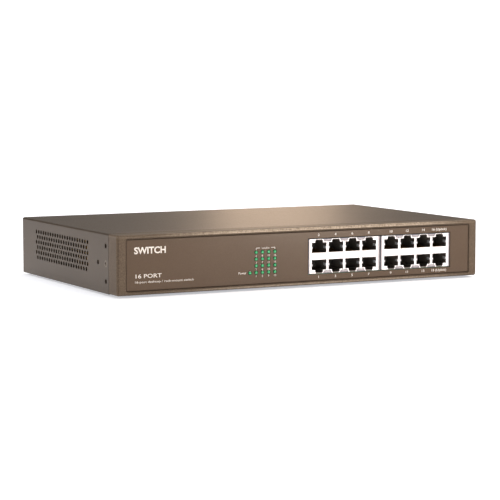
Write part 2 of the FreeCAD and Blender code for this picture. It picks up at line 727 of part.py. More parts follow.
def bezel_rivets():
    rivets = []
    for index, x in enumerate(rivet_places(), 1):
        at = (x, "coverFront + rivetInset")
        shank = rod(f"RivetShank{index}", "Z", at, ("bottom", "floor + flangeWall"), "rivetShank / 2")
        head = rod(f"RivetHead{index}", "Z", at, ("floor + flangeWall", "floor + flangeWall + rivetHeight"),
                   "rivetHead / 2", "rivetHead / 2 - 0.8")
        rivets.append(fuse(f"Rivet{index}", shank, head))
    return node(group("Rivets", rivets), "bezel_rivets")


# Jacks

def window_loops(left, grow):
    # The two openings of the first column: a plug opening with its latch notch, above and below the band.
    middle = f"{left} + (blockWidth - (portColumns - 1) * portPitch) / 2"
    loops = []
    for sign in (1, -1):
        def point(across, up, sign=sign):
            return (f"{middle} + {sign} * ({across})", f"blockMiddle + {sign} * ({up})")
        low = f"portBand / 2 - {grow}"
        high = f"portBand / 2 + portHeight + {grow}"
        half = f"portWidth / 2 + {grow}"
        notch = f"latchWidth / 2 + {grow}"
        loops.append([
            point(f"-({half})", low), point(half, low), point(half, high), point(notch, high),
            point(notch, f"{high} + latchStep"), point("latchTop / 2", f"blockHeight / 2 + {NEAR_ZERO}"),
            point("-latchTop / 2", f"blockHeight / 2 + {NEAR_ZERO}"),
            point(f"-({notch})", f"{high} + latchStep"), point(f"-({notch})", high), point(f"-({half})", high),
        ])
    return loops


def block_left(side):
    return "jackLeft" if side == "left" else "jackLeft + blockWidth + blockGap"


def jack_shield(side):
    left = block_left(side)
    right = f"{left} + blockWidth"
    body = new_body("JackShield" + side.title())
    pad(body, "ShieldBlank", "Y", ("blockFront", "blockRear"),
        rectangle((left, right), ("blockBottom", "blockTop")))
    pocket(body, "ShieldInside", "Y", ("blockFront + shieldWall", "blockRear - shieldWall"),
           rectangle((f"{left} + shieldWall", f"{right} - shieldWall"),
                     ("blockBottom - 1", "blockTop - shieldWall")))
    windows = pocket(body, "JackWindows", "Y", ("blockFront", "blockFront + shieldWall"),
                     *window_loops(left, "0"))
    repeat(body, "JackWindowRow", [windows], ("X", "portPitch", "portColumns"))
    return node(body, "jack_shield_" + side)


def jack_housing(side):
    left = block_left(side)
    middle = f"{left} + (blockWidth - (portColumns - 1) * portPitch) / 2"
    body = new_body("JackHousing" + side.title())
    front_face = "blockFront + shieldWall"
    pad(body, "HousingBlank", "Y", (front_face, "blockRear - shieldWall"),
        rectangle((f"{left} + shieldWall", f"{left} + blockWidth - shieldWall"),
                  ("blockBottom", "blockTop - shieldWall")))
    cavities = pocket(body, "PlugSpaces", "Y", (front_face, f"{front_face} + cavityDepth"),
                      *housing_loops(middle))
    half = "(contactCount - 1) * contactPitch / 2 + contactWidth / 2 + grooveSide"
    across = (f"{middle} - ({half})", f"{middle} + {half}")
    wall = "portBand / 2 - cavityGap"
    loops = [rectangle(across, (f"blockMiddle + {wall} - grooveDepth", f"blockMiddle + {wall}")),
             rectangle(across, (f"blockMiddle - ({wall})", f"blockMiddle - ({wall}) + grooveDepth"))]
    bend = "blockFront + contactInset"
    grooves = pocket(body, "ContactGrooves", "Y",
                     (f"{bend} - contactLoop - grooveFront", f"{bend} + grooveBack"), *loops)
    repeat(body, "PlugSpaceRow", [cavities, grooves], ("X", "portPitch", "portColumns"))
    return node(body, "jack_housing_" + side)


def housing_loops(middle):
    # The same openings a little wider, ending under the shield's top and above the board.
    loops = []
    for sign in (1, -1):
        def point(across, up, sign=sign):
            return (f"{middle} + {sign} * ({across})", f"blockMiddle + {sign} * ({up})")
        low = "portBand / 2 - cavityGap"
        high = "portBand / 2 + portHeight + cavityGap"
        half = "portWidth / 2 + cavityGap"
        notch = "latchWidth / 2 + cavityGap"
        end = "blockHeight / 2 - 2 * shieldWall"
        loops.append([
            point(f"-({half})", low), point(half, low), point(half, high), point(notch, high),
            point(notch, end), point(f"-({notch})", end), point(f"-({notch})", high), point(f"-({half})", high),
        ])
    return loops


def port_place(port):
    # Odd ports are in the lower row and even ports above them, counted from the left.
    column = (port - 1) // 2
    side = "left" if column < 4 else "right"
    x = f"{block_left(side)} + (blockWidth - (portColumns - 1) * portPitch) / 2 + {column % 4} * portPitch"
    sign = 1 if port % 2 == 0 else -1
    z = f"blockMiddle + {sign} * (portBand / 2 - cavityGap - contactSink)"
    return x, z, sign


def port_contacts(port):
    # Eight sprung wires, drawn about their bend: the arm rises into the plug space to a turned tip.
    x, z, sign = port_place(port)
    body = new_body(f"Contacts{port:02d}")
    first = "-(contactCount - 1) * contactPitch / 2 - contactWidth / 2"
    span = (first, f"{first} + contactWidth")
    half = "contactWall / 2"
    slim = "contactReach - contactWall"
    arm = pad(body, f"Arm{port:02d}", "X", span, [
        (NEAR_ZERO, f"-{half}"), (slim, f"contactRise - {half}"),
        ("contactReach", "contactRise - contactHook"),
        ("contactReach + contactWall", "contactRise - contactHook"),
        ("contactReach", f"contactRise + {half}"), (slim, f"contactRise + {half}"), (NEAR_ZERO, half)])
    bend = pad(body, f"Bend{port:02d}", "X", span, (NEAR_ZERO, NEAR_ZERO, "2 * contactLoop"))
    repeat(body, f"WireRow{port:02d}", [arm, bend], ("X", "contactPitch", "contactCount"))
    if sign < 0:
        body.Placement = FreeCAD.Placement(FreeCAD.Vector(), FreeCAD.Rotation(FreeCAD.Vector(0, 1, 0), 180))
    put(body, x, "blockFront + contactInset", z)
    return node(body, f"contacts_port_{port:02d}")


def jack_pins():
    # Solder tips of the jacks below the main board, two rows for each block.
    body = new_body("JackPins")
    span = ("boardBottom - pinLength", "boardBottom")
    pins = []
    for side in ("left", "right"):
        middle = f"{block_left(side)} + (blockWidth - (portColumns - 1) * portPitch) / 2"
        x = f"{middle} - (contactCount - 1) * contactPitch / 2"
        loops = []
        for y in ("blockFront + pinInset", "blockFront + pinInset + pinStep"):
            loops.append(rectangle((f"{x} - pinWidth / 2", f"{x} + pinWidth / 2"),
                                   (f"{y} - pinWidth / 2", f"{y} + pinWidth / 2")))
        pins.append(pad(body, "Pins" + side.title(), "Z", span, *loops))
    repeat(body, "PinRows", pins, ("X", "contactPitch", "contactCount"), ("X", "portPitch", "portColumns"))
    return node(body, "jack_pins")


# Lamps

def lamp_body(name, x):
    # A round lamp turned about its own axis: a cylinder with a flatter dome.
    body = new_body(name)
    sketch = draw(body, name + "Sketch", "X", x, [])
    half = "lampDiameter / 2"
    dome = f"(({half}) ^ 2 + lampDome ^ 2) / (2 * lampDome)"
    corners = [("lampShoulder - lampDome", "lampZ"), ("lampRear", "lampZ"),
               ("lampRear", f"lampZ + {half}"), ("lampShoulder", f"lampZ + {half}")]
    points = [FreeCAD.Vector(number(y), number(z), 0) for y, z in corners]
    for start, end in zip(points, points[1:]):
        sketch.addGeometry(Part.LineSegment(start, end))
    centre = FreeCAD.Vector(number(f"lampShoulder - lampDome + {dome}"), number("lampZ"), 0)
    circle = Part.Circle(centre, FreeCAD.Vector(0, 0, 1), number(dome))
    shoulder = math.atan2(points[3].y - centre.y, points[3].x - centre.x)
    arc = sketch.addGeometry(Part.ArcOfCircle(circle, shoulder, math.pi))
    for index in range(2):
        sketch.addConstraint(Sketcher.Constraint("Coincident", index, 2, index + 1, 1))
    sketch.addConstraint(Sketcher.Constraint("Coincident", 2, 2, arc, 1))
    sketch.addConstraint(Sketcher.Constraint("Coincident", arc, 2, 0, 1))
    for index, (y, z) in enumerate(corners[:3]):
        tie(sketch, "DistanceX", index, 1, y)
        tie(sketch, "DistanceY", index, 1, z)
    tie(sketch, "DistanceX", 2, 2, corners[3][0])
    tie(sketch, "DistanceY", 2, 2, corners[3][1])
    tie(sketch, "DistanceY", arc, 3, "lampZ")
    turned = body.newObject("PartDesign::Revolution", name + "Turned")
    turned.Profile = sketch
    turned.ReferenceAxis = (sketch, ["Edge1"])
    turned.Angle = 360
    body.Tip = turned
    doc.recompute()
    return body, turned


def port_lamps():
    body, lamp = lamp_body("PortLamp", "lampX")
    repeat(body, "PortLampGrid", [lamp], ("X", "lampPitchX", "lampCount"), ("Z", "lampPitchZ", "lampCount"))
    return node(body, "port_lamps")


def power_lamp():
    return node(lamp_body("PowerLamp", "powerLampX")[0], "power_lamp")


def lamp_holder():
    body = new_body("LampHolder")
    span = ("plateRear + holderGap", "plateRear + holderGap + holderDepth")
    pad(body, "HolderBlock", "Y", span,
        rectangle(("powerLampX - holderMargin", "lampX + (lampCount - 1) * lampPitchX + holderMargin"),
                  ("boardTop", "lampZ + (lampCount - 1) * lampPitchZ + holderMargin")))
    face_holes(body, "Holder", span)
    return node(body, "lamp_holder")


# Boards

def main_screw_places():
    left = "mainLeft + boardHoleInset"
    right = "mainRight - boardHoleInset"
    front = "mainFront + boardHoleFront"
    back = "mainRear - boardHoleInset"
    return [(left, front), (right, front), (left, back), (right, back)]


def supply_screw_places():
    left = "supplyLeft + boardHoleInset"
    right = "supplyRight - boardHoleInset"
    front = "supplyFront + boardHoleInset"
    back = "supplyBack - boardHoleInset"
    return [(left, front), (right, front), (left, back), (right, back)]


def circuit_board(label, x, y, holes):
    body = new_body(label.title().replace("_", ""))
    pad(body, label + "_sheet", "Z", ("boardBottom", "boardTop"), rectangle(x, y))
    pocket(body, label + "_holes", "Z", ("boardBottom", "boardTop"),
           *[(px, py, "boardScrew + 4 * screwClearance") for px, py in holes])
    return node(body, label)


def board_standoffs():
    posts = []
    for index, at in enumerate(main_screw_places() + supply_screw_places(), 1):
        post = rod(f"StandoffPost{index}", "Z", at, ("floor", "boardBottom"), "standoffDiameter / 2")
        bore = rod(f"StandoffBore{index}", "Z", at, ("boardTop - boardScrewLength", "boardBottom"),
                   "boardScrew / 2")
        posts.append(cut(f"Standoff{index}", post, bore))
    return node(group("Standoffs", posts), "board_standoffs")


def board_screws():
    screws = [pan_screw(f"BoardScrew{index}", "Z", at, "boardTop", 1, "boardScrew", "boardScrewLength")
              for index, at in enumerate(main_screw_places() + supply_screw_places(), 1)]
    return node(group("BoardScrews", screws), "board_screws")


def standing(name, piece, board, shift=("0", "0"), rise="0", height=None):
    # A box on a board, centred at the piece's place.
    left, front = {"main": ("mainLeft", "mainFront"), "supply": ("supplyLeft", "supplyFront")}[board]
    x = f"{left} + {piece}X + {shift[0]}"
    y = f"{front} + {piece}Y + {shift[1]}"
    return block(name, (f"{x} - {piece}Length / 2", f"{x} + {piece}Length / 2"),
                 (f"{y} - {piece}Width / 2", f"{y} + {piece}Width / 2"),
                 (f"boardTop + {rise}", f"boardTop + {rise} + {height or piece + 'Height'}"))


def can(name, piece, board, shift="0"):
    left, front = {"main": ("mainLeft", "mainFront"), "supply": ("supplyLeft", "supplyFront")}[board]
    at = (f"{left} + {piece}X + {shift}", f"{front} + {piece}Y")
    rim = f"{piece}Length / 2"
    wall = rod(name + "Wall", "Z", at, ("boardTop", f"boardTop + {piece}Height - canEdge"), rim)
    top = rod(name + "Top", "Z", at,
              (f"boardTop + {piece}Height - canEdge", f"boardTop + {piece}Height"), rim, f"{rim} - canEdge")
    return fuse(name, wall, top)


def main_board_pieces():
    circuit_board("main_board", ("mainLeft", "mainRight"), ("mainFront", "mainRear"), main_screw_places())
    node(standing("SwitchChip", "switchChip", "main"), "switch_chip")
    heat_sink()
    coils = [standing(f"LanTransformer{index}", "lanTransformer", "main",
                      (f"{index} * transformerPitch", "0"))
             for index in range(4)]
    node(group("LanTransformers", coils), "lan_transformers")
    node(standing("Crystal", "crystal", "main"), "crystal")
    node(standing("MemoryChip", "memoryChip", "main"), "memory_chip")
    cans = [can(f"BoardCapacitor{index}", "boardCapacitor", "main",
                f"{index} * capacitorPitch") for index in range(5)]
    node(group("BoardCapacitors", cans), "board_capacitors")


def heat_sink():
    body = new_body("HeatSink")
    x = "mainLeft + heatSinkX"
    y = "mainFront + heatSinkY"
    across = (f"{x} - heatSinkLength / 2", f"{x} + heatSinkLength / 2")
    deep = (f"{y} - heatSinkWidth / 2", f"{y} + heatSinkWidth / 2")
    low = "boardTop + switchChipHeight"
    pad(body, "SinkBase", "Z", (low, f"{low} + finBase"), rectangle(across, deep))
    fin = pad(body, "SinkFin", "Z", (f"{low} + finBase", f"{low} + heatSinkHeight"),
              rectangle((across[0], f"{across[0]} + finWall"), deep))
    repeat(body, "SinkFins", [fin], ("X", "finPitch", "finCount"))
    return node(body, "heat_sink")


def supply_pieces():
    circuit_board("supply_board", ("supplyLeft", "supplyRight"), ("supplyFront", "supplyBack"),
                  supply_screw_places())
    insulating_sheet()
    fuse_piece()
    node(standing("XCapacitor", "xCapacitor", "supply"), "interference_capacitor")
    choke_piece()
    node(can("BulkCapacitor", "bulkCapacitor", "supply"), "bulk_capacitor")
    transformer_piece()
    supply_sink()
    cans = [can(f"OutputCapacitor{index}", "outputCapacitor", "supply",
                f"{index} * outputPitch") for index in range(3)]
    node(group("OutputCapacitors", cans), "output_capacitors")
    headers = [standing("SupplyHeader", "supplyHeader", "supply"),
               standing("AcHeader", "acHeader", "supply"),
               standing("MainHeader", "mainHeader", "main")]
    node(group("Headers", headers), "power_headers")


def insulating_sheet():
    plate = block("InsulatorPlate", ("supplyLeft", "supplyRight"), ("supplyFront", "supplyBack"),
                  ("floor", "floor + sheetInsulator"))
    holes = [rod(f"InsulatorHole{index}", "Z", at, ("floor", "floor + sheetInsulator"),
                 "standoffDiameter / 2 + insulatorGap")
             for index, at in enumerate(supply_screw_places(), 1)]
    return node(cut("InsulatorSheet", plate, fuse("InsulatorHoles", *holes)), "insulating_sheet")


def fuse_piece():
    x = "supplyLeft + fuseX"
    at = ("supplyFront + fuseY", "boardTop + fuseHeight / 2 + capMargin")
    glass = (f"{x} - fuseLength / 2 + capLength", f"{x} + fuseLength / 2 - capLength")
    parts = [rod("FuseGlass", "X", at, glass, "fuseHeight / 2"),
             rod("FuseCapLeft", "X", at, (f"{x} - fuseLength / 2", glass[0]), "fuseHeight / 2 + capMargin"),
             rod("FuseCapRight", "X", at, (glass[1], f"{x} + fuseLength / 2"),
                 "fuseHeight / 2 + capMargin")]
    return node(group("Fuse", parts), "fuse")


def choke_piece():
    seat = standing("ChokeSeat", "choke", "supply")
    ring = doc.addObject("Part::Torus", "ChokeRing")
    bind(ring, Radius1="chokeRing", Radius2="chokeTube")
    put(ring, "supplyLeft + chokeX", "supplyFront + chokeY", "boardTop + chokeHeight + chokeTube - 0.2")
    return node(fuse("Choke", seat, ring), "mains_choke")


def transformer_piece():
    winding = standing("Winding", "transformer", "supply")
    x = "supplyLeft + transformerX"
    y = "supplyFront + transformerY"
    core = block("Core", (f"{x} - transformerLength / 2 - coreMargin",
                          f"{x} + transformerLength / 2 + coreMargin"),
                 (f"{y} - coreHeight / 2", f"{y} + coreHeight / 2"),
                 ("boardTop + 1", "boardTop + transformerHeight + 2"))
    return node(fuse("Transformer", winding, core), "supply_transformer")


def supply_sink():
    plate = standing("SupplySinkPlate", "supplySink", "supply")
    ribs = []
    x = "supplyLeft + supplySinkX - supplySinkLength / 2"
    y = "supplyFront + supplySinkY + supplySinkWidth / 2"
    for index in range(5):
        low = f"{x} + {index} * (supplySinkLength - finWall) / 4"
        ribs.append(block(f"SupplySinkRib{index}", (low, f"{low} + finWall"), (y, f"{y} + 3 * finWall"),
                          ("boardTop", "boardTop + supplySinkHeight")))
    return node(fuse("SupplySink", plate, *ribs), "supply_heat_sink")


# Inlet and wires

def inlet_mouth():
    # The socket's outline: a rectangle with its two upper corners cut off.
    half = "inletMouthWidth / 2"
    tall = "inletMouthHeight / 2"
    slant = "inletMouthChamfer"
    return [(f"inletX - {half}", f"inletZ - {tall}"), (f"inletX + {half}", f"inletZ - {tall}"),
            (f"inletX + {half}", f"inletZ + {tall} - {slant}"),
            (f"inletX + {half} - {slant}", f"inletZ + {tall}"),
            (f"inletX - {half} + {slant}", f"inletZ + {tall}"),
            (f"inletX - {half}", f"inletZ + {tall} - {slant}")]


def blade_places():
    low = "inletZ - bladeEarthRise / 2"
    return [("inletX - bladeSpan / 2", low), ("inletX + bladeSpan / 2", low),
            ("inletX", "inletZ + bladeEarthRise / 2")]


def blade_box(name, x, z, span):
    return block(name, (f"{x} - bladeWidth / 2", f"{x} + bladeWidth / 2"), span,
                 (f"{z} - bladeHeight / 2", f"{z} + bladeHeight / 2"))


def mains_inlet():
    body = new_body("MainsInlet")
    flange_rear = "wallRear + inletFlangeWall"
    pad(body, "InletFlange", "Y", ("wallRear", flange_rear),
        rectangle(("inletX - inletFlangeWidth / 2", "inletX + inletFlangeWidth / 2"),
                  ("inletZ - inletFlangeHeight / 2", "inletZ + inletFlangeHeight / 2")))
    round_edges(body, "FlangeCorners", "4", lambda box: along(box, "Y"))
    pad(body, "InletBody", "Y", ("wallFront - inletDepth", "wallRear"),
        rectangle(("inletX - inletWidth / 2", "inletX + inletWidth / 2"),
                  ("inletZ - inletHeight / 2", "inletZ + inletHeight / 2")))
    pocket(body, "InletSocket", "Y", (f"{flange_rear} - inletMouthDepth", flange_rear), inlet_mouth())
    slots = [rectangle((f"{x} - bladeWidth / 2", f"{x} + bladeWidth / 2"),
                       (f"{z} - bladeHeight / 2", f"{z} + bladeHeight / 2")) for x, z in blade_places()]
    pocket(body, "BladeSlots", "Y", ("wallFront - inletDepth", f"{flange_rear} - inletMouthDepth"), *slots)
    sinks = []
    for sign, hand in ((-1, "Left"), (1, "Right")):
        at = (f"inletX + {sign} * inletScrewSpan / 2", "inletZ")
        sinks.append(rod("InletSink" + hand, "Y", at, ("wallRear", flange_rear),
                         "inletScrew / 2 + 0.1", "inletScrew / 2 + 0.1 + inletFlangeWall"))
    return node(cut("MainsInletCut", body, fuse("InletSinks", *sinks)), "mains_inlet")


def inlet_blades():
    flange_rear = "wallRear + inletFlangeWall"
    blades = [blade_box(f"Blade{index}", x, z,
                        ("wallFront - inletDepth - bladeTail", f"{flange_rear} - bladeShy"))
              for index, (x, z) in enumerate(blade_places(), 1)]
    return node(group("Blades", blades), "inlet_blades")


def inlet_screws():
    screws = []
    flange_rear = "wallRear + inletFlangeWall"
    for sign, hand in ((-1, "Left"), (1, "Right")):
        at = (f"inletX + {sign} * inletScrewSpan / 2", "inletZ")
        sink = "(inletScrewHead - inletScrew) / 2"
        cone = rod("InletScrewHead" + hand, "Y", at, (f"{flange_rear} - {sink}", flange_rear),
                   "inletScrew / 2", "inletScrewHead / 2")
        shank = rod("InletScrewShank" + hand, "Y", at,
                    (f"{flange_rear} - inletScrewLength", flange_rear), "inletScrew / 2")
        slots = []
        for turn, (wide, tall) in enumerate((("slotLength", "slotWidth"), ("slotWidth", "slotLength"))):
            slots.append(block(f"InletScrewSlot{turn}{hand}",
                               (f"{at[0]} - {wide} / 2", f"{at[0]} + {wide} / 2"),
                               (f"{flange_rear} - slotDepth", flange_rear),
                               (f"inletZ - {tall} / 2", f"inletZ + {tall} / 2")))
        screws.append(cut("InletScrew" + hand, fuse("InletScrewBody" + hand, cone, shank),
                          fuse("InletScrewSlots" + hand, *slots)))
    return node(group("InletScrews", screws), "inlet_screws")


def earth_screw():
    at = ("earthX", "earthZ")
    screw = pan_screw("EarthScrew", "Y", at, "wallRear", 1, "earthScrew",
                      "3 * ringWall + inletScrewLength", "earthHead")
    return node(screw, "earth_screw")


def earth_ring():
    at = ("earthX", "earthZ")
    ring_rear = "wallFront"
    ring_front = "wallFront - ringWall"
    ring = rod("EarthRing", "Y", at, (ring_front, ring_rear), "earthNut / 2")
    nut = doc.addObject("Part::Prism", "EarthNut")
    nut.Polygon = 6
    nut.Placement = FreeCAD.Placement(FreeCAD.Vector(), TURNS["Y"])
    bind(nut, Circumradius="earthNut / 2", Height="4 * ringWall")
    put(nut, "earthX", f"{ring_front} - 4 * ringWall", "earthZ")
    bore = rod("EarthBore", "Y", at, (f"{ring_front} - 4 * ringWall", ring_rear), "earthScrew / 2")
    return node(cut("EarthNutAndRing", group("EarthStack", [ring, nut]), bore), "earth_nut")


def tube(points, diameter):
    # A round wire along straight runs joined by tangent arcs.
    bend = number("wireBend")
    corners = [FreeCAD.Vector(*[number(value) for value in point]) for point in points]
    edges = []
    start = corners[0]
    for before, corner, after in zip(corners, corners[1:], corners[2:]):
        back = (before - corner).normalize()
        ahead = (after - corner).normalize()
        half = back.getAngle(ahead) / 2
        reach = bend / math.tan(half)
        enter = corner + back * reach
        leave = corner + ahead * reach
        centre = corner + (back + ahead).normalize() * (bend / math.sin(half))
        middle = centre + (corner - centre).normalize() * bend
        edges.append(Part.LineSegment(start, enter).toShape())
        edges.append(Part.Arc(enter, middle, leave).toShape())
        start = leave
    edges.append(Part.LineSegment(start, corners[-1]).toShape())
    path = Part.Wire(edges)
    direction = (corners[1] - corners[0]).normalize()
    ring = Part.Wire(Part.Circle(corners[0], direction, diameter / 2).toShape())
    return path.makePipeShell([ring], True, True)


def wire_set(label, routes):
    # Loose wires have no fitting primitive, so their shape is built here from the sheet's sizes.
    solids = []
    for route in routes:
        solid = tube(route, number("wireDiameter"))
        solids.append(solid)
    item = doc.addObject("Part::Feature", label.title().replace("_", ""))
    item.Shape = Part.makeCompound(solids)
    return node(item, label)


def header_plugs():
    plugs = []
    for name, piece, board in (("SupplyPlug", "supplyHeader", "supply"), ("AcPlug", "acHeader", "supply"),
                               ("MainPlug", "mainHeader", "main")):
        plugs.append(standing(name, piece, board, rise=piece + "Height", height="plugHeight"))
    return node(group("Plugs", plugs), "harness_plugs")


def harness():
    # Two low-voltage wires in an arch from the supply to the main board.
    routes = []
    high = "boardTop + supplyHeaderHeight + plugHeight"
    for shift in ("- wireSpread", "+ wireSpread"):
        x1 = "supplyLeft + supplyHeaderX"
        y1 = f"supplyFront + supplyHeaderY {shift}"
        x2 = "mainLeft + mainHeaderX"
        y2 = f"mainFront + mainHeaderY {shift}"
        top = f"{high} + wireArch"
        routes.append([(x1, y1, high), (x1, y1, top), (x2, y2, top), (x2, y2, high)])
    return wire_set("harness_wires", routes)


def inlet_wires():
    # Line and neutral, from the inlet's blades forwards and down to the plug on the supply board.
    routes = []
    low = "inletZ - bladeEarthRise / 2"
    start = "wallFront - inletDepth - bladeTail"
    high = "boardTop + acHeaderHeight + plugHeight"
    for sign, reach in ((-1, "wireNear"), (1, "wireFar")):
        x1 = f"inletX + {sign} * bladeSpan / 2"
        x2 = "supplyLeft + acHeaderX"
        y2 = f"supplyFront + acHeaderY - {sign} * wireSpread"
        routes.append([(x1, start, low), (x1, f"{start} - {reach}", low), (x2, y2, f"{high} + wireDrop"),
                       (x2, y2, high)])
    return wire_set("inlet_wires", routes)


def earth_wire():
    x1 = "inletX"
    z1 = "inletZ + bladeEarthRise / 2"
    start = "wallFront - inletDepth - bladeTail"
    high = "earthZ + earthNut / 2 + earthArch"
    wall = "wallFront - 0.6 * wireDiameter"
    route = [(x1, start, z1), (x1, f"{start} - wireNear", z1), ("earthX", f"{start} - wireNear", high),
             ("earthX", wall, high), ("earthX", wall, "earthZ + earthNut / 2")]
    return wire_set("earth_wire", [route])


def check_and_write():
    doc.recompute()
    for item in doc.Objects:
        if "Invalid" in item.State or "Error" in item.State:
            raise RuntimeError(f"{item.Name} is {item.State}")
    for item in nodes:
        if item.Shape.isNull() or not item.Shape.isValid() or item.Shape.Volume < TINY:
            raise RuntimeError(f"{item.Label} has no valid solid")
    os.makedirs("parts", exist_ok=True)
    for item in nodes:
        item.Shape.exportStep(f"parts/{item.Label}.step")
        print(f"{item.Label}: {len(item.Shape.Solids)} solids, {item.Shape.Volume:.1f} mm3")


base_tray()
top_cover()
front_bezel()
front_film()
rubber_feet()
cover_screws()
rear_cover_screws()
bezel_rivets()
for side_name in ("left", "right"):
    jack_shield(side_name)
    jack_housing(side_name)
for port_number in range(1, 17):
    port_contacts(port_number)
jack_pins()
port_lamps()
power_lamp()
lamp_holder()
main_board_pieces()
supply_pieces()
board_standoffs()
board_screws()
mains_inlet()
inlet_blades()
inlet_screws()
earth_screw()
earth_ring()
header_plugs()
harness()
inlet_wires()
earth_wire()
check_and_write()
print(len(nodes), "nodes")
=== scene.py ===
import json
import math
import bpy
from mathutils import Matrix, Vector

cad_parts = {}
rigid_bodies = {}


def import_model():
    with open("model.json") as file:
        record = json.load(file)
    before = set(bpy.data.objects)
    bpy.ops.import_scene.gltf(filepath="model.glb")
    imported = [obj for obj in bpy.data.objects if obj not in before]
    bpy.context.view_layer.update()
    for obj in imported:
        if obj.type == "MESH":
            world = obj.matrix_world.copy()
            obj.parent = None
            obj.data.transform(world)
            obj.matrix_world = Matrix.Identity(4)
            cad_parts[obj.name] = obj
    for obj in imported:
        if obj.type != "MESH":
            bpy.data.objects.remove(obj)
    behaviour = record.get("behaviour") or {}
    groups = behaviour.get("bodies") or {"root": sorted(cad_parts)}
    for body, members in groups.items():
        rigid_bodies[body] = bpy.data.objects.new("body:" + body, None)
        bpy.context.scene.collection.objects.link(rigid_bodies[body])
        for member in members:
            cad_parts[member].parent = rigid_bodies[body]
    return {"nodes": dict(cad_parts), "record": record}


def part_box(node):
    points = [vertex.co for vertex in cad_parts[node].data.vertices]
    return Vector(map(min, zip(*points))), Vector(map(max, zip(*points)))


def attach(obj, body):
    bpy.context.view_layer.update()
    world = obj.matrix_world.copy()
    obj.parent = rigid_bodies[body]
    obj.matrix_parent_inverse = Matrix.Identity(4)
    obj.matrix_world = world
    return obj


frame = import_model()
for spare in [thing for thing in bpy.data.objects if thing.name in ("Cube", "Light", "Camera")]:
    bpy.data.objects.remove(spare)  # what an unsaved Blender file starts with
bpy.context.view_layer.update()
nodes = frame["nodes"]
bpy.ops.object.select_all(action="DESELECT")

mm = 0.001
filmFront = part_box("front_film")[0].y
capitalShare = 0.72  # height of a capital letter as a share of the font's size
midRange = {"From Min": 0.3, "From Max": 0.7}  # where nearly all of a noise pattern's values lie


# Colours, nodes and materials

def toLinear(hexColour):
    channels = [int(hexColour[i:i + 2], 16) / 255 for i in (1, 3, 5)]
    return tuple(c / 12.92 if c <= 0.04045 else ((c + 0.055) / 1.055) ** 2.4 for c in channels) + (1.0,)


def addNode(tree, kind, settings=None, links=None, stops=None):
    # a setting is the node's own property where it has one of that name, and else an input's value
    node = tree.nodes.new("ShaderNode" + kind)
    for name, value in (settings or {}).items():
        if isinstance(name, str) and hasattr(node, name):
            setattr(node, name, value)
        else:
            node.inputs[name].default_value = value
    for name, socket in (links or {}).items():
        tree.links.new(socket, node.inputs[name])
    for index, (position, colour) in enumerate(stops or []):
        elements = node.color_ramp.elements
        element = elements[index] if index < len(elements) else elements.new(position)
        element.position = position
        element.color = toLinear(colour)
    return node


def newMaterial(name, shader):
    # a material with one Principled shader, its constants on the shader's own sockets
    material = bpy.data.materials.new(name)
    material.use_nodes = True
    tree = material.node_tree
    tree.nodes.clear()
    surface = addNode(tree, "BsdfPrincipled", shader)
    addNode(tree, "OutputMaterial", None, {"Surface": surface.outputs[0]})
    place = addNode(tree, "TexCoord").outputs["Object"]
    return material, tree, surface, place


def feed(tree, surface, sockets):
    # links patterns into the shader's sockets
    for name, socket in sockets.items():
        tree.links.new(socket, surface.inputs[name])


def grained(name, shader, stops, grain, cloud=45.0, rough=(0.4, 0.5), depth=0.01, tint=0.25):
    # a coat or moulding with a fine grain, faint larger clouds, and gloss that follows the grain;
    # grain, cloud and depth are in millimetres
    material, tree, surface, place = newMaterial(name, shader)
    fine = addNode(tree, "TexNoise", {"Scale": 1 / (grain * mm), "Detail": 3.0, "Roughness": 0.6},
                   {"Vector": place})
    wide = addNode(tree, "TexNoise", {"Scale": 1 / (cloud * mm), "Detail": 2.0}, {"Vector": place})
    both = addNode(tree, "Mix", {"data_type": "FLOAT", 0: tint},
                   {2: fine.outputs["Fac"], 3: wide.outputs["Fac"]})
    colour = addNode(tree, "ValToRGB", None, {"Fac": both.outputs[0]}, stops)
    gloss = addNode(tree, "MapRange", {**midRange, "To Min": rough[0], "To Max": rough[1]},
                    {"Value": fine.outputs["Fac"]})
    bump = addNode(tree, "Bump", {"Distance": depth * mm}, {"Height": fine.outputs["Fac"]})
    feed(tree, surface, {"Base Color": colour.outputs["Color"], "Roughness": gloss.outputs["Result"],
                         "Normal": bump.outputs["Normal"]})
    return material


# Finishes

def caseCoat():
    # powder coat on steel: a fine satin texture, so light breaks up into soft specks; drawn coarser than life
    return grained("powder_coated_steel", {"Metallic": 0.3, "IOR": 1.45, "Specular IOR Level": 0.35},
                   [(0.3, "#42382e"), (0.5, "#4c4136"), (0.7, "#574b3e")],
                   0.8, 70.0, (0.34, 0.46), 0.02, 0.35)


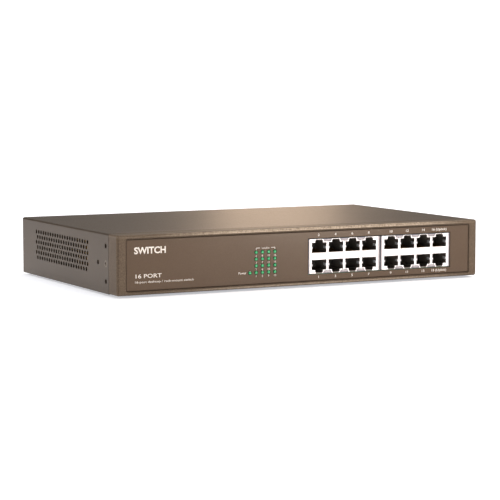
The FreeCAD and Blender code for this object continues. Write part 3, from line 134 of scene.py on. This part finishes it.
def bezelCoat():
    # metallic coat on pressed steel: coarser flakes that glitter, warmer than the cover, and a painted
    # highlight along the two long bends, strongest in their middle; the flakes are drawn coarser than life
    material = grained("metallic_coated_steel", {"Metallic": 0.25, "IOR": 1.45, "Specular IOR Level": 0.2},
                       [(0.3, "#4c3f33"), (0.5, "#594c3f"), (0.7, "#685a4b")],
                       0.9, 60.0, (0.4, 0.52), 0.03, 0.1)
    tree = material.node_tree
    surface = tree.nodes["Principled BSDF"]
    flat = surface.inputs["Base Color"].links[0].from_socket
    low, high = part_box("front_bezel")
    place = addNode(tree, "TexCoord").outputs["Object"]
    split = addNode(tree, "SeparateXYZ", None, {"Vector": place})
    level = addNode(tree, "MapRange", {"From Min": low.z, "From Max": high.z},
                    {"Value": split.outputs["Z"]})
    # painted highlight on the rounded top and bottom lips, fading towards the ends of the width and broken
    # into specks by the flakes
    bends = addNode(tree, "ValToRGB", None, {"Fac": level.outputs["Result"]},
                    [(0.010, "#000000"), (0.020, "#d0d0d0"), (0.036, "#d0d0d0"), (0.048, "#000000"),
                     (0.944, "#000000"), (0.952, "#ffffff"), (0.988, "#ffffff"), (0.996, "#000000")])
    flakes = addNode(tree, "TexNoise", {"Scale": 1 / (1.3 * mm), "Detail": 3.0, "Roughness": 0.7},
                     {"Vector": place})
    glint = addNode(tree, "MapRange", {"From Min": 0.36, "From Max": 0.6, "To Min": 0.35, "To Max": 1.0},
                    {"Value": flakes.outputs["Fac"]})
    across = addNode(tree, "MapRange", {"From Min": low.x, "From Max": high.x},
                     {"Value": split.outputs["X"]})
    highlightAcross = addNode(tree, "ValToRGB", None, {"Fac": across.outputs["Result"]},
                   [(0.10, "#5a5a5a"), (0.32, "#ffffff"), (0.82, "#ffffff"), (0.96, "#6a6a6a")])
    highlightBands = addNode(tree, "Math", {"operation": "MULTIPLY"},
                     {0: bends.outputs["Color"], 1: highlightAcross.outputs["Color"]})
    speckledHighlight = addNode(tree, "Math", {"operation": "MULTIPLY"},
                   {0: highlightBands.outputs[0], 1: glint.outputs["Result"]})
    # b5a694 is the colour of the painted highlight
    both = addNode(tree, "Mix", {"data_type": "RGBA", 7: toLinear("#b5a694")},
                   {0: speckledHighlight.outputs[0], 6: flat})
    feed(tree, surface, {"Base Color": both.outputs[2]})
    return material


def filmPrint():
    # brown ink behind a satin polycarbonate film: nearly even, with a very fine matt texture that is drawn
    # coarser than life
    return grained("printed_polycarbonate_film", {"IOR": 1.5, "Specular IOR Level": 0.3},
                   [(0.3, "#56422f"), (0.5, "#5a4633"), (0.7, "#5e4a37")],
                   0.7, 50.0, (0.15, 0.18), 0.002, 0.4)


def tinPlate():
    # tin-plated steel strip: bright, with faint rolling lines along its length
    material, tree, surface, place = newMaterial("tin_plated_steel", {"Metallic": 0.5})
    turned = addNode(tree, "Mapping", {"Scale": (0.08, 1.0, 1.0)}, {"Vector": place})
    lines = addNode(tree, "TexNoise", {"Scale": 1 / (0.35 * mm), "Detail": 3.0},
                    {"Vector": turned.outputs["Vector"]})
    colour = addNode(tree, "ValToRGB", None, {"Fac": lines.outputs["Fac"]},
                     [(0.3, "#c4c4c8"), (0.7, "#d4d4d8")])
    gloss = addNode(tree, "MapRange", {**midRange, "To Min": 0.3, "To Max": 0.42},
                    {"Value": lines.outputs["Fac"]})
    bump = addNode(tree, "Bump", {"Distance": 0.004 * mm}, {"Height": lines.outputs["Fac"]})
    feed(tree, surface, {"Base Color": colour.outputs["Color"], "Roughness": gloss.outputs["Result"],
                         "Normal": bump.outputs["Normal"]})
    return material


def shadedTin():
    # the same plated strip, greyer and darker: painted shade where it is bent back from the face
    return grained("tin_plate_in_painted_shade", {"Metallic": 0.6},
                   [(0.3, "#7d7a81"), (0.5, "#8a878d"), (0.7, "#98959a")], 0.6, 6.0, (0.34, 0.48), 0.006, 0.3)


def zincScrew():
    # zinc-plated screw: blue-grey, with a faint patchy passivation
    return grained("zinc_plated_steel", {"Metallic": 1.0},
                   [(0.3, "#8b8d92"), (0.5, "#a3a5a8"), (0.7, "#b9b7ae")], 1.1, 6.0, (0.25, 0.42), 0.004, 0.5)


def coatedScrew():
    # screws and rivets coated with the case, a little shinier where a driver has touched them
    return grained("coated_screw_steel", {"Metallic": 0.6, "IOR": 1.45},
                   [(0.3, "#4d4239"), (0.5, "#665a4d"), (0.7, "#8f8272")], 0.6, 3.0, (0.28, 0.42), 0.01, 0.4)


def moulded(name, stops, rough=(0.38, 0.5), grain=0.5, depth=0.008, ior=1.5):
    return grained(name, {"IOR": ior}, stops, grain, 30.0, rough, depth, 0.3)


def goldPlate():
    # thin gold over a nickelled spring wire
    return grained("gold_plated_wire", {"Metallic": 1.0},
                   [(0.3, "#7d6237"), (0.5, "#94784a"), (0.7, "#a98e60")], 0.6, 3.0, (0.3, 0.44), 0.003, 0.4)


def lampEpoxy():
    # green-tinted epoxy over a lit die: paler at the dome's tip, deeper towards its rim; the die's glow is
    # real, and the pale tip and dark rim are also painted highlight and painted shade
    material, tree, surface, place = newMaterial(
        "lit_green_epoxy", {"IOR": 1.55, "Roughness": 0.18, "Coat Weight": 0.6, "Coat Roughness": 0.08,
                            "Emission Strength": 0.05})
    depth = addNode(tree, "SeparateXYZ", None, {"Vector": place})
    tip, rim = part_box("power_lamp")[0].y, filmFront
    dome = addNode(tree, "MapRange", {"From Min": tip, "From Max": rim}, {"Value": depth.outputs["Y"]})
    # tip-to-rim colour: painted highlight at the tip and painted shade at the rim
    colour = addNode(tree, "ValToRGB", None, {"Fac": dome.outputs["Result"]},
                     [(0.0, "#48c27d"), (0.35, "#259a5a"), (0.9, "#0a4a28")])
    cloud = addNode(tree, "TexNoise", {"Scale": 1 / (1.4 * mm), "Detail": 1.0}, {"Vector": place})
    gloss = addNode(tree, "MapRange", {**midRange, "To Min": 0.14, "To Max": 0.24},
                    {"Value": cloud.outputs["Fac"]})
    feed(tree, surface, {"Base Color": colour.outputs["Color"], "Emission Color": colour.outputs["Color"],
                         "Roughness": gloss.outputs["Result"]})
    return material


def boardMask():
    # green solder mask over copper: darker laminate, lighter where a track runs beneath
    material, tree, surface, place = newMaterial(
        "solder_masked_laminate", {"IOR": 1.5, "Coat Weight": 0.4, "Coat Roughness": 0.15})
    cells = addNode(tree, "TexNoise", {"Scale": 1 / (5.0 * mm), "Detail": 1.0}, {"Vector": place})
    tracks = addNode(tree, "TexWave", {"wave_type": "BANDS", "bands_direction": "DIAGONAL", "Scale": 400.0,
                                       "Distortion": 3.0, "Detail": 1.0}, {"Vector": place})
    copper = addNode(tree, "Math", {"operation": "MULTIPLY"},
                     {0: cells.outputs["Fac"], 1: tracks.outputs["Fac"]})
    colour = addNode(tree, "ValToRGB", None, {"Fac": copper.outputs[0]},
                     [(0.2, "#0b3d1f"), (0.35, "#14602f"), (0.5, "#0f4a26")])
    gloss = addNode(tree, "MapRange", {**midRange, "To Min": 0.3, "To Max": 0.42},
                    {"Value": cells.outputs["Fac"]})
    bump = addNode(tree, "Bump", {"Distance": 0.02 * mm}, {"Height": copper.outputs[0]})
    feed(tree, surface, {"Base Color": colour.outputs["Color"], "Roughness": gloss.outputs["Result"],
                         "Normal": bump.outputs["Normal"]})
    return material


def printInk():
    # white screen-printed ink: matt and very slightly broken where the mesh lifted
    return grained("screen_printed_ink", {"IOR": 1.5},
                   [(0.3, "#e2d6ca"), (0.5, "#f0e8df"), (0.7, "#faf5ee")], 0.3, 8.0, (0.5, 0.6), 0.004, 0.3)


def fuseGlass():
    # thin clear glass tube over a fine wire
    material, tree, surface, place = newMaterial(
        "clear_fuse_glass", {"IOR": 1.52, "Transmission Weight": 0.85, "Base Color": toLinear("#dfe6e8")})
    cloud = addNode(tree, "TexNoise", {"Scale": 1 / (2.0 * mm), "Detail": 2.0}, {"Vector": place})
    gloss = addNode(tree, "MapRange", {**midRange, "To Min": 0.03, "To Max": 0.1},
                    {"Value": cloud.outputs["Fac"]})
    feed(tree, surface, {"Roughness": gloss.outputs["Result"]})
    return material


finishes = {
    "case_steel": caseCoat(),
    "bezel_paint": bezelCoat(),
    "front_film": filmPrint(),
    "plated_steel": tinPlate(),
    "screw_steel": zincScrew(),
    "black_plastic": moulded("moulded_black_pbt",
                             [(0.3, "#111111"), (0.5, "#181818"), (0.7, "#202022")]),
    "gold_wire": goldPlate(),
    "lamp_green": lampEpoxy(),
    "board_green": boardMask(),
    "white_plastic": moulded("moulded_white_nylon", [(0.3, "#dcdad0"), (0.7, "#f1efe8")]),
    "chip_black": moulded("moulded_epoxy_package",
                          [(0.3, "#171718"), (0.7, "#232325")], (0.5, 0.65), 0.25, 0.02),
    "sink_metal": grained("black_anodised_aluminium", {"Metallic": 0.9},
                          [(0.3, "#1d1e20"), (0.7, "#303236")], 0.6, 20.0, (0.35, 0.5), 0.01),
    "can_metal": moulded("sleeved_capacitor_can",
                         [(0.3, "#14161f"), (0.7, "#20243a")], (0.2, 0.32), 4.0, 0.01),
    "rubber_black": moulded("moulded_nitrile_rubber",
                            [(0.3, "#131312"), (0.7, "#1f1f1d")], (0.6, 0.8), 0.4, 0.03),
    "brass_pin": grained("nickelled_brass", {"Metallic": 1.0},
                         [(0.3, "#a99c72"), (0.7, "#cfc39b")], 0.8, 6.0, (0.22, 0.35), 0.004),
    "core_ferrite": moulded("sintered_ferrite",
                            [(0.3, "#242426"), (0.7, "#343437")], (0.5, 0.7), 0.35, 0.03),
    "yellow_film": moulded("potted_film_box",
                           [(0.3, "#b8881a"), (0.7, "#d9a92c")], (0.25, 0.35), 3.0, 0.01),
    "sheet_amber": moulded("black_insulating_sheet",
                           [(0.3, "#141414"), (0.7, "#1e1e1e")], (0.35, 0.5), 1.5, 0.01),
    "fuse_glass": fuseGlass(),
    "wire_black": moulded("black_pvc_insulation",
                          [(0.3, "#101010"), (0.7, "#1b1b1b")], (0.3, 0.42), 1.2, 0.01),
    "wire_red": moulded("red_pvc_insulation", [(0.3, "#96120f"), (0.7, "#b81f18")], (0.3, 0.42), 1.2, 0.01),
    "wire_green": moulded("green_pvc_insulation",
                          [(0.3, "#2c7a22"), (0.7, "#459a32")], (0.3, 0.42), 1.2, 0.01),
    "solder": grained("reflowed_solder", {"Metallic": 1.0},
                      [(0.3, "#a8aaad"), (0.7, "#cfd0d2")], 0.7, 3.0, (0.2, 0.4), 0.02),
}
for part in frame["record"]["subparts"]:
    nodes[part["node"]].data.materials.clear()
    nodes[part["node"]].data.materials.append(finishes[part["material_slot"]])
screwCoat = coatedScrew()
for name in ("cover_screws", "rear_cover_screws", "bezel_rivets"):
    nodes[name].data.materials[0] = screwCoat
jackPlastic = moulded("glass_filled_pbt", [(0.3, "#5a5550"), (0.5, "#67615b"), (0.7, "#756e67")],
                      (0.3, 0.42))
for name in ("jack_housing_left", "jack_housing_right"):
    nodes[name].data.materials[0] = jackPlastic
print("finishes made:", len(finishes))


# Places that the pieces are measured from

leftBlock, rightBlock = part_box("jack_shield_left"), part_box("jack_shield_right")
shieldFront = leftBlock[0].y
blockMiddle = (leftBlock[0].z + leftBlock[1].z) / 2
portCentres = [(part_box(f"contacts_port_{port:02d}")[0].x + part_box(f"contacts_port_{port:02d}")[1].x) / 2
               for port in range(1, 17)]
lampLow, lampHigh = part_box("port_lamps")
powerLow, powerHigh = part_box("power_lamp")
lampRadius = (powerHigh.x - powerLow.x) / 2
powerPlace = ((powerLow.x + powerHigh.x) / 2, (powerLow.z + powerHigh.z) / 2)


def lampPlace(column, row):
    # lamps are counted up each column of four, from the bottom row
    stepX = (lampHigh.x - lampLow.x - 2 * lampRadius) / 3
    stepZ = (lampHigh.z - lampLow.z - 2 * lampRadius) / 3
    return lampLow.x + lampRadius + column * stepX, lampLow.z + lampRadius + row * stepZ


# Making and joining pieces

def settle(piece):
    # leaves the piece at the origin, unturned, with its place in its mesh
    bpy.ops.object.select_all(action="DESELECT")
    piece.select_set(True)
    bpy.context.view_layer.objects.active = piece
    bpy.ops.object.transform_apply(location=True, rotation=True, scale=True)
    return piece


def finishPiece(pieces, name, material, body="case"):
    bpy.ops.object.select_all(action="DESELECT")
    for piece in pieces:
        piece.select_set(True)
    bpy.context.view_layer.objects.active = pieces[0]
    if len(pieces) > 1:
        bpy.ops.object.join()
    whole = bpy.context.view_layer.objects.active
    whole.name = name
    whole.data.name = name
    whole.data.materials.clear()
    whole.data.materials.append(material)
    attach(whole, body)
    bpy.ops.object.select_all(action="DESELECT")
    return whole


def chooseFaces(piece, test):
    # in edit mode, selects the faces whose middle and normal pass the test
    bpy.ops.object.mode_set(mode="OBJECT")
    for face in piece.data.polygons:
        face.select = False
    for edge in piece.data.edges:
        edge.select = False
    for corner in piece.data.vertices:
        corner.select = False
    for face in piece.data.polygons:
        face.select = bool(test(face.center, face.normal))
    bpy.ops.object.mode_set(mode="EDIT")
    bpy.ops.mesh.select_mode(type="FACE")


def lettering(words, height, x, z, align="CENTER", wide=1.0, weight=0.0):
    # text on the film's face, as thin as ink; height and weight in millimetres
    bpy.ops.object.select_all(action="DESELECT")
    bpy.ops.object.text_add(location=(0, 0, 0))
    text = bpy.context.object
    text.data.body = words
    text.data.align_x = align
    text.data.align_y = "CENTER"
    text.data.size = height * mm / capitalShare
    text.data.offset = weight * mm
    text.data.resolution_u = 3
    text.data.extrude = inkPrint["thickness"] * mm / 2
    bpy.ops.object.convert(target="MESH")
    text.scale = (wide, 1.0, 1.0)
    text.rotation_euler = (math.radians(90), 0, 0)
    text.location = (x, filmFront - inkPrint["thickness"] * mm / 2, z)
    return settle(text)


def softBar(x1, x2, z1, z2, back, proud, softened):
    # a flat bar that stands proud of a face by so many millimetres, its corners softened by a share of that
    bpy.ops.object.select_all(action="DESELECT")
    bpy.ops.mesh.primitive_cube_add(size=1, location=((x1 + x2) / 2, back - proud * mm / 2, (z1 + z2) / 2))
    bar = bpy.context.object
    bar.scale = (x2 - x1, proud * mm, z2 - z1)
    settle(bar)
    bevel = bar.modifiers.new("softened", "BEVEL")
    bevel.width = softened * proud * mm
    bpy.ops.object.modifier_apply(modifier="softened")
    return bar


def inkBar(x1, x2, z1, z2):
    # a thin line on the film's face, used for print and for painted shade
    return softBar(x1, x2, z1, z2, filmFront, inkPrint["thickness"], 0.25)


# Printing on the front film

inkPrint = {"thickness": 0.03, "portNumber": 1.75, "numberShift": -0.6, "lampNumber": 1.5,
            "aboveBlock": 3.0, "belowBlock": 2.6, "belowLamp": 2.65, "line": 0.34, "power": 1.7,
            "beforeLamp": 2.9}
ink = printInk()

numbers = []
for port in range(1, 17):
    words = str(port) + (" (Uplink)" if port > 14 else "")
    upper = port % 2 == 0
    above, below = inkPrint["aboveBlock"] * mm, inkPrint["belowBlock"] * mm
    x = portCentres[port - 1] + inkPrint["numberShift"] * mm
    z = leftBlock[1].z + above if upper else leftBlock[0].z - below
    numbers.append(lettering(words, inkPrint["portNumber"], x, z, wide=1.22, weight=0.03))
finishPiece(numbers, "port_numbers", ink)

numbers = []
for column in range(4):
    for row in range(4):
        x, z = lampPlace(column, row)
        numbers.append(lettering(str(4 * column + row + 1), inkPrint["lampNumber"], x,
                                 z - inkPrint["belowLamp"] * mm))
x, z = powerPlace
numbers.append(lettering("Power", inkPrint["power"], x - inkPrint["beforeLamp"] * mm, z, align="RIGHT"))
finishPiece(numbers, "lamp_numbers", ink)

bracket = {"above": 2.8, "drop": 1.1, "gap": 4.5, "text": 1.3}
left, top = lampPlace(0, 3)
right = lampPlace(3, 3)[0]
middle, high = (left + right) / 2, top + bracket["above"] * mm
line = inkPrint["line"] * mm
bars = [lettering("Link/Act", bracket["text"], middle, high)]
for sign, end in ((-1, left), (1, right)):
    near = middle + sign * bracket["gap"] * mm
    bars.append(inkBar(min(end, near), max(end, near), high, high + line))
    bars.append(inkBar(end - line / 2, end + line / 2, high - bracket["drop"] * mm, high))
finishPiece(bars, "lamp_bracket", ink)

titles = {"left": -134.0, "rows": [
    # words, height, level, width, weight
    ("SWITCH", 4.6, 32.0, 1.0, 0.18),
    ("16 PORT", 2.8, 14.4, 1.4, 0.02),
    ("16-port desktop / rack-mount switch", 1.55, 10.4, 1.4, 0.0),
]}
words = [lettering(text, height, titles["left"] * mm, level * mm, align="LEFT", wide=wide, weight=weight)
         for text, height, level, wide, weight in titles["rows"]]
finishPiece(words, "front_titles", ink)

# Dark brown line round the edge of the film, broader along its top and bottom: painted shade where the recess
# edge shades the film

border = {"wide": 0.4, "level": 0.75, "thick": 0.03}
filmLow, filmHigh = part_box("front_film")
bpy.ops.mesh.primitive_plane_add(size=1)
ring = bpy.context.object
ring.scale = (filmHigh.x - filmLow.x, filmHigh.z - filmLow.z, 1)
ring.rotation_euler = (math.radians(90), 0, 0)
ring.location = ((filmLow.x + filmHigh.x) / 2, filmFront, (filmLow.z + filmHigh.z) / 2)
settle(ring)
chooseFaces(ring, lambda middle, normal: True)
bpy.ops.mesh.inset(thickness=border["wide"] * mm)
bpy.ops.mesh.delete(type="FACE")
bpy.ops.mesh.select_all(action="SELECT")
bpy.ops.mesh.extrude_region_move(TRANSFORM_OT_translate={"value": (0, -border["thick"] * mm, 0)})
bpy.ops.mesh.select_all(action="SELECT")
bpy.ops.mesh.normals_make_consistent(inside=False)
bpy.ops.object.mode_set(mode="OBJECT")
edgeBars = [inkBar(filmLow.x, filmHigh.x, low, low + border["level"] * mm)
            for low in (filmLow.z, filmHigh.z - border["level"] * mm)]
# the line's colour is painted shade along the recess edge, not print
recessEdgeShade = grained("painted_recess_edge_shade", {"IOR": 1.5, "Specular IOR Level": 0.15},
                    [(0.3, "#443528"), (0.7, "#534233")], 0.5, 30.0, (0.4, 0.5), 0.003)
finishPiece([ring] + edgeBars, "film_border", recessEdgeShade)

# Black line along the top and left of the cut-out: painted shadow of the film's cut edge over the gap to the
# shields

cutShadow = {"wide": 0.8}
cutLow, cutHigh = leftBlock[0], rightBlock[1]
shadowLeft, shadowTop = cutLow.x - cutShadow["wide"] * mm, cutHigh.z + cutShadow["wide"] * mm
shadowBars = [inkBar(shadowLeft, cutHigh.x, cutHigh.z, shadowTop), inkBar(shadowLeft, cutLow.x, cutLow.z, cutHigh.z)]
# painted shadow, on the two sides of the cut-out where shade falls
cutShadowPaint = grained("painted_cut_out_shadow", {"IOR": 1.5, "Specular IOR Level": 0.15},
                   [(0.3, "#0d0a08"), (0.7, "#17120e")], 0.5, 30.0, (0.4, 0.5), 0.003)
finishPiece(shadowBars, "film_keyline", cutShadowPaint)
print("front printing done")


# Sprung fingers of the jack shields

finger = {"width": 5.0, "wide": 7.4, "tall": 1.9, "proud": 0.3, "lip": 0.5, "dish": 0.18, "rolled": 0.08}


def shieldFinger(x, sign):
    # a tab bent forward between two latch notches, wider at the block's edge
    edge = leftBlock[1].z if sign > 0 else leftBlock[0].z
    bpy.ops.object.select_all(action="DESELECT")
    bpy.ops.mesh.primitive_cube_add(size=1)
    tab = bpy.context.object
    tab.scale = (finger["width"] * mm, finger["proud"] * mm, finger["tall"] * mm)
    tab.location = (x, shieldFront - finger["proud"] * mm / 2, edge - sign * finger["tall"] * mm / 2)
    settle(tab)
    chooseFaces(tab, lambda middle, normal: normal.z * sign > 0.9)
    bpy.ops.transform.resize(value=(finger["wide"] / finger["width"], 1, 1),
                             center_override=(x, shieldFront, edge))
    chooseFaces(tab, lambda middle, normal: normal.y < -0.9)
    bpy.ops.mesh.inset(thickness=finger["lip"] * mm)
    bpy.ops.transform.translate(value=(0, finger["dish"] * mm, 0))
    bpy.ops.object.mode_set(mode="OBJECT")
    bevel = tab.modifiers.new("rolled", "BEVEL")
    bevel.width = finger["rolled"] * mm
    bevel.segments = 2
    bpy.ops.object.modifier_apply(modifier="rolled")
    return tab


fingers = []
for block, first in ((leftBlock, 0), (rightBlock, 8)):
    columns = [portCentres[first + 2 * column] for column in range(4)]
    step = columns[1] - columns[0]
    for gap in range(3):
        for sign in (1, -1):
            fingers.append(shieldFinger(columns[gap] + step / 2, sign))
# the fingers and the folds take the plated strip in painted shade
tinInShade = shadedTin()
finishPiece(fingers, "shield_fingers", tinInShade)

# Edges of the shields, where the strip is folded back round each block, given painted shade

fold = {"wide": 1.0, "proud": 0.06, "lip": 0.35}


def shieldBar(x1, x2, z1, z2, proud):
    # a folded edge on the face of a shield
    return softBar(x1, x2, z1, z2, shieldFront, proud, 0.3)


folds, lips = [], []
for block, first in ((leftBlock, 0), (rightBlock, 8)):
    for edge, sign in ((block[0].x, 1), (block[1].x, -1)):
        near, far = sorted((edge, edge + sign * fold["wide"] * mm))
        folds.append(shieldBar(near, far, block[0].z, block[1].z, fold["proud"]))
    columns = [portCentres[first + 2 * column] for column in range(4)]
    step = columns[1] - columns[0]
    for gap in range(3):
        for edge, sign in ((block[1].z, -1), (block[0].z, 1)):
            inner = edge + sign * finger["tall"] * mm
            low, high = sorted((inner, inner + sign * fold["lip"] * mm))
            x = columns[gap] + step / 2
            lips.append(shieldBar(x - finger["width"] / 2 * mm, x + finger["width"] / 2 * mm, low, high,
                                  finger["proud"]))
# thin bars that carry painted shade on the folded edges
finishPiece(folds, "shield_folds", tinInShade)
finishPiece(lips, "shield_lips", finishes["plated_steel"])

# Side springs of the openings: a leaf that bows into the jack

leaf = {"tall": 2.0, "deep": 5.0, "bow": 0.55, "wall": 0.2, "half": 6.1, "middle": 6.2, "front": 0.2,
        "columns": 6, "rows": 4,
        "pushes": ((2.0, 0.5), (1.0, 0.3), (0.1, 0.2))}  # columns reached each way, share of the bow


def sideSpring():
    # a strip whose middle is pushed out into a bow
    bpy.ops.object.select_all(action="DESELECT")
    bpy.ops.mesh.primitive_grid_add(x_subdivisions=leaf["columns"], y_subdivisions=leaf["rows"], size=1)
    spring = bpy.context.object
    spring.scale = (leaf["deep"] * mm, leaf["tall"] * mm, 1.0)
    settle(spring)
    step = leaf["deep"] / leaf["columns"]
    for reach, rise in leaf["pushes"]:
        chooseFaces(spring, lambda middle, normal: abs(middle.x) < (reach + 0.25) * step * mm)
        bpy.ops.transform.translate(value=(0, 0, rise * leaf["bow"] * mm))
    bpy.ops.object.mode_set(mode="OBJECT")
    wall = spring.modifiers.new("wall", "SOLIDIFY")
    wall.thickness = leaf["wall"] * mm
    bpy.ops.object.modifier_apply(modifier="wall")
    bpy.ops.object.shade_smooth_by_angle(angle=math.radians(40))
    return spring


nub = {"radius": 0.8, "deep": 0.45, "half": 5.85, "flat": 0.55, "crown": 1.25, "back": 0.1}


def frontBump():
    # the curled front end of a leaf, seen as a small bright nub on the opening's edge
    bpy.ops.object.select_all(action="DESELECT")
    bpy.ops.mesh.primitive_cylinder_add(vertices=20, radius=nub["radius"] * mm, depth=nub["deep"] * mm)
    bump = bpy.context.object
    chooseFaces(bump, lambda middle, normal: abs(normal.z) > 0.9)
    bpy.ops.mesh.inset(thickness=nub["radius"] / 3 * mm)
    bpy.ops.transform.resize(value=(1, 1, nub["crown"]))
    bpy.ops.object.mode_set(mode="OBJECT")
    bump.scale = (nub["flat"], 1.0, 1.0)
    bpy.ops.object.shade_smooth_by_angle(angle=math.radians(35))
    return settle(bump)


def copyTo(pattern, turn, place):
    # a copy with its own mesh, turned by degrees and put in its place
    twin = pattern.copy()
    twin.data = pattern.data.copy()
    bpy.context.scene.collection.objects.link(twin)
    twin.rotation_euler = [math.radians(angle) for angle in turn]
    twin.location = place
    return settle(twin)


springs = []
leafPattern, nubPattern = sideSpring(), frontBump()
for port in range(1, 17):
    z = blockMiddle + (1 if port % 2 == 0 else -1) * leaf["middle"] * mm
    for hand in (-1, 1):
        x = portCentres[port - 1]
        # the leaf lies against a side wall, its bow towards the opening's middle
        deep = shieldFront + (leaf["deep"] / 2 - leaf["front"]) * mm
        springs.append(copyTo(leafPattern, (90, 0, -90 * hand), (x + hand * leaf["half"] * mm, deep, z)))
        deep = shieldFront + nub["back"] * mm
        springs.append(copyTo(nubPattern, (90, 0, 0), (x + hand * nub["half"] * mm, deep, z)))
bpy.data.objects.remove(leafPattern)
bpy.data.objects.remove(nubPattern)
finishPiece(springs, "shield_springs", finishes["plated_steel"])
print("shield details done")


# Floor, light and camera

lightSetup = {
    "floor": 8.0,
    "throughFloor": 0.5,
    "backdrop": 1.1,
    "around": 0.09,
    "overhead": 2.2,
    "overheadSpread": 80,
    "overheadTilt": (-20, 5, 0),
    # name, place, what it faces, size, power, colour
    "panels": [
        ("front_panel", (0.5, -1.7, 0.42), (0, 0, 0.02), (1.6, 0.8), 3.0, "#fffaf5"),
        ("front_strip", (0.754, -1.444, 0.11), (0.0, -0.09, 0.02), (0.08, 0.2), 8.8, "#ffefe0"),
        ("top_strip", (0.86, -0.25, 1.35), (0.1, -0.09, 0.04), (0.5, 0.2), 9.5, "#fff0e0"),
        ("side_panel", (-1.8, 0.3, 0.42), (0, 0, 0.02), (1.6, 0.8), 16.4, "#fff0e0"),
        ("back_strip", (0.93, 1.68, 0.55), (0.02, 0, 0.03), (0.22, 1.0), 1.9, "#ffdfc0"),
    ],
}


def studio():
    bpy.ops.mesh.primitive_plane_add(size=lightSetup["floor"], location=(0, 0, 0))
    floor = bpy.context.object
    floor.name = "floor"
    # lit acrylic table: light comes up through it, so a shadow on it stays pale
    material, tree, surface, place = newMaterial("lit_white_acrylic", {
        "Roughness": 0.8, "Specular IOR Level": 0.1, "Emission Color": toLinear("#eef2fa"),
        "Emission Strength": lightSetup["throughFloor"]})
    cloud = addNode(tree, "TexNoise", {"Scale": 1 / (400 * mm), "Detail": 2.0}, {"Vector": place})
    colour = addNode(tree, "ValToRGB", None, {"Fac": cloud.outputs["Fac"]},
                     [(0.3, "#f2f3f6"), (0.7, "#f6f7f9")])
    feed(tree, surface, {"Base Color": colour.outputs["Color"]})
    floor.data.materials.append(material)

    world = bpy.data.worlds.new("studio")
    bpy.context.scene.world = world
    world.use_nodes = True
    tree = world.node_tree
    tree.nodes.clear()
    seen = addNode(tree, "Background", {"Color": toLinear("#ffffff"), "Strength": lightSetup["backdrop"]})
    around = addNode(tree, "Background", {"Color": toLinear("#f3f5f8"), "Strength": lightSetup["around"]})
    path = addNode(tree, "LightPath")
    mix = addNode(tree, "MixShader", None,
                  {0: path.outputs["Is Camera Ray"], 1: around.outputs[0], 2: seen.outputs[0]})
    addNode(tree, "OutputWorld", None, {"Surface": mix.outputs[0]})

    sun = bpy.data.objects.new("overhead_light", bpy.data.lights.new("overhead_light", "SUN"))
    sun.data.energy = lightSetup["overhead"]
    sun.data.angle = math.radians(lightSetup["overheadSpread"])
    sun.rotation_euler = [math.radians(angle) for angle in lightSetup["overheadTilt"]]
    bpy.context.scene.collection.objects.link(sun)
    for name, spot, target, size, power, tint in lightSetup["panels"]:
        lamp = bpy.data.objects.new(name, bpy.data.lights.new(name, "AREA"))
        lamp.data.shape = "RECTANGLE"
        lamp.data.size, lamp.data.size_y = size
        lamp.data.energy = power
        lamp.data.color = toLinear(tint)[:3]
        lamp.location = spot
        lamp.rotation_euler = (Vector(target) - Vector(spot)).to_track_quat("-Z", "Y").to_euler()
        lamp.visible_camera = False
        bpy.context.scene.collection.objects.link(lamp)


studio()

cameraSetup = {"azimuth": -27.58, "elevation": 5.5, "distance": 1.437, "lens": 136.5, "sensor": 36.0,
               "target": (0.00169, 0.0, 0.01928)}


def placeCamera():
    turn, lift = math.radians(cameraSetup["azimuth"]), math.radians(cameraSetup["elevation"])
    back = Vector((math.sin(turn) * math.cos(lift), -math.cos(turn) * math.cos(lift), math.sin(lift)))
    data = bpy.data.cameras.new("camera")
    data.lens = cameraSetup["lens"]
    data.sensor_width = cameraSetup["sensor"]
    camera = bpy.data.objects.new("camera", data)
    camera.location = Vector(cameraSetup["target"]) + cameraSetup["distance"] * back
    camera.rotation_euler = (-back).to_track_quat("-Z", "Y").to_euler()
    bpy.context.scene.collection.objects.link(camera)
    bpy.context.scene.camera = camera
    bpy.context.scene.view_settings.view_transform = "Standard"


placeCamera()
print("studio done")

bpy.context.view_layer.update()
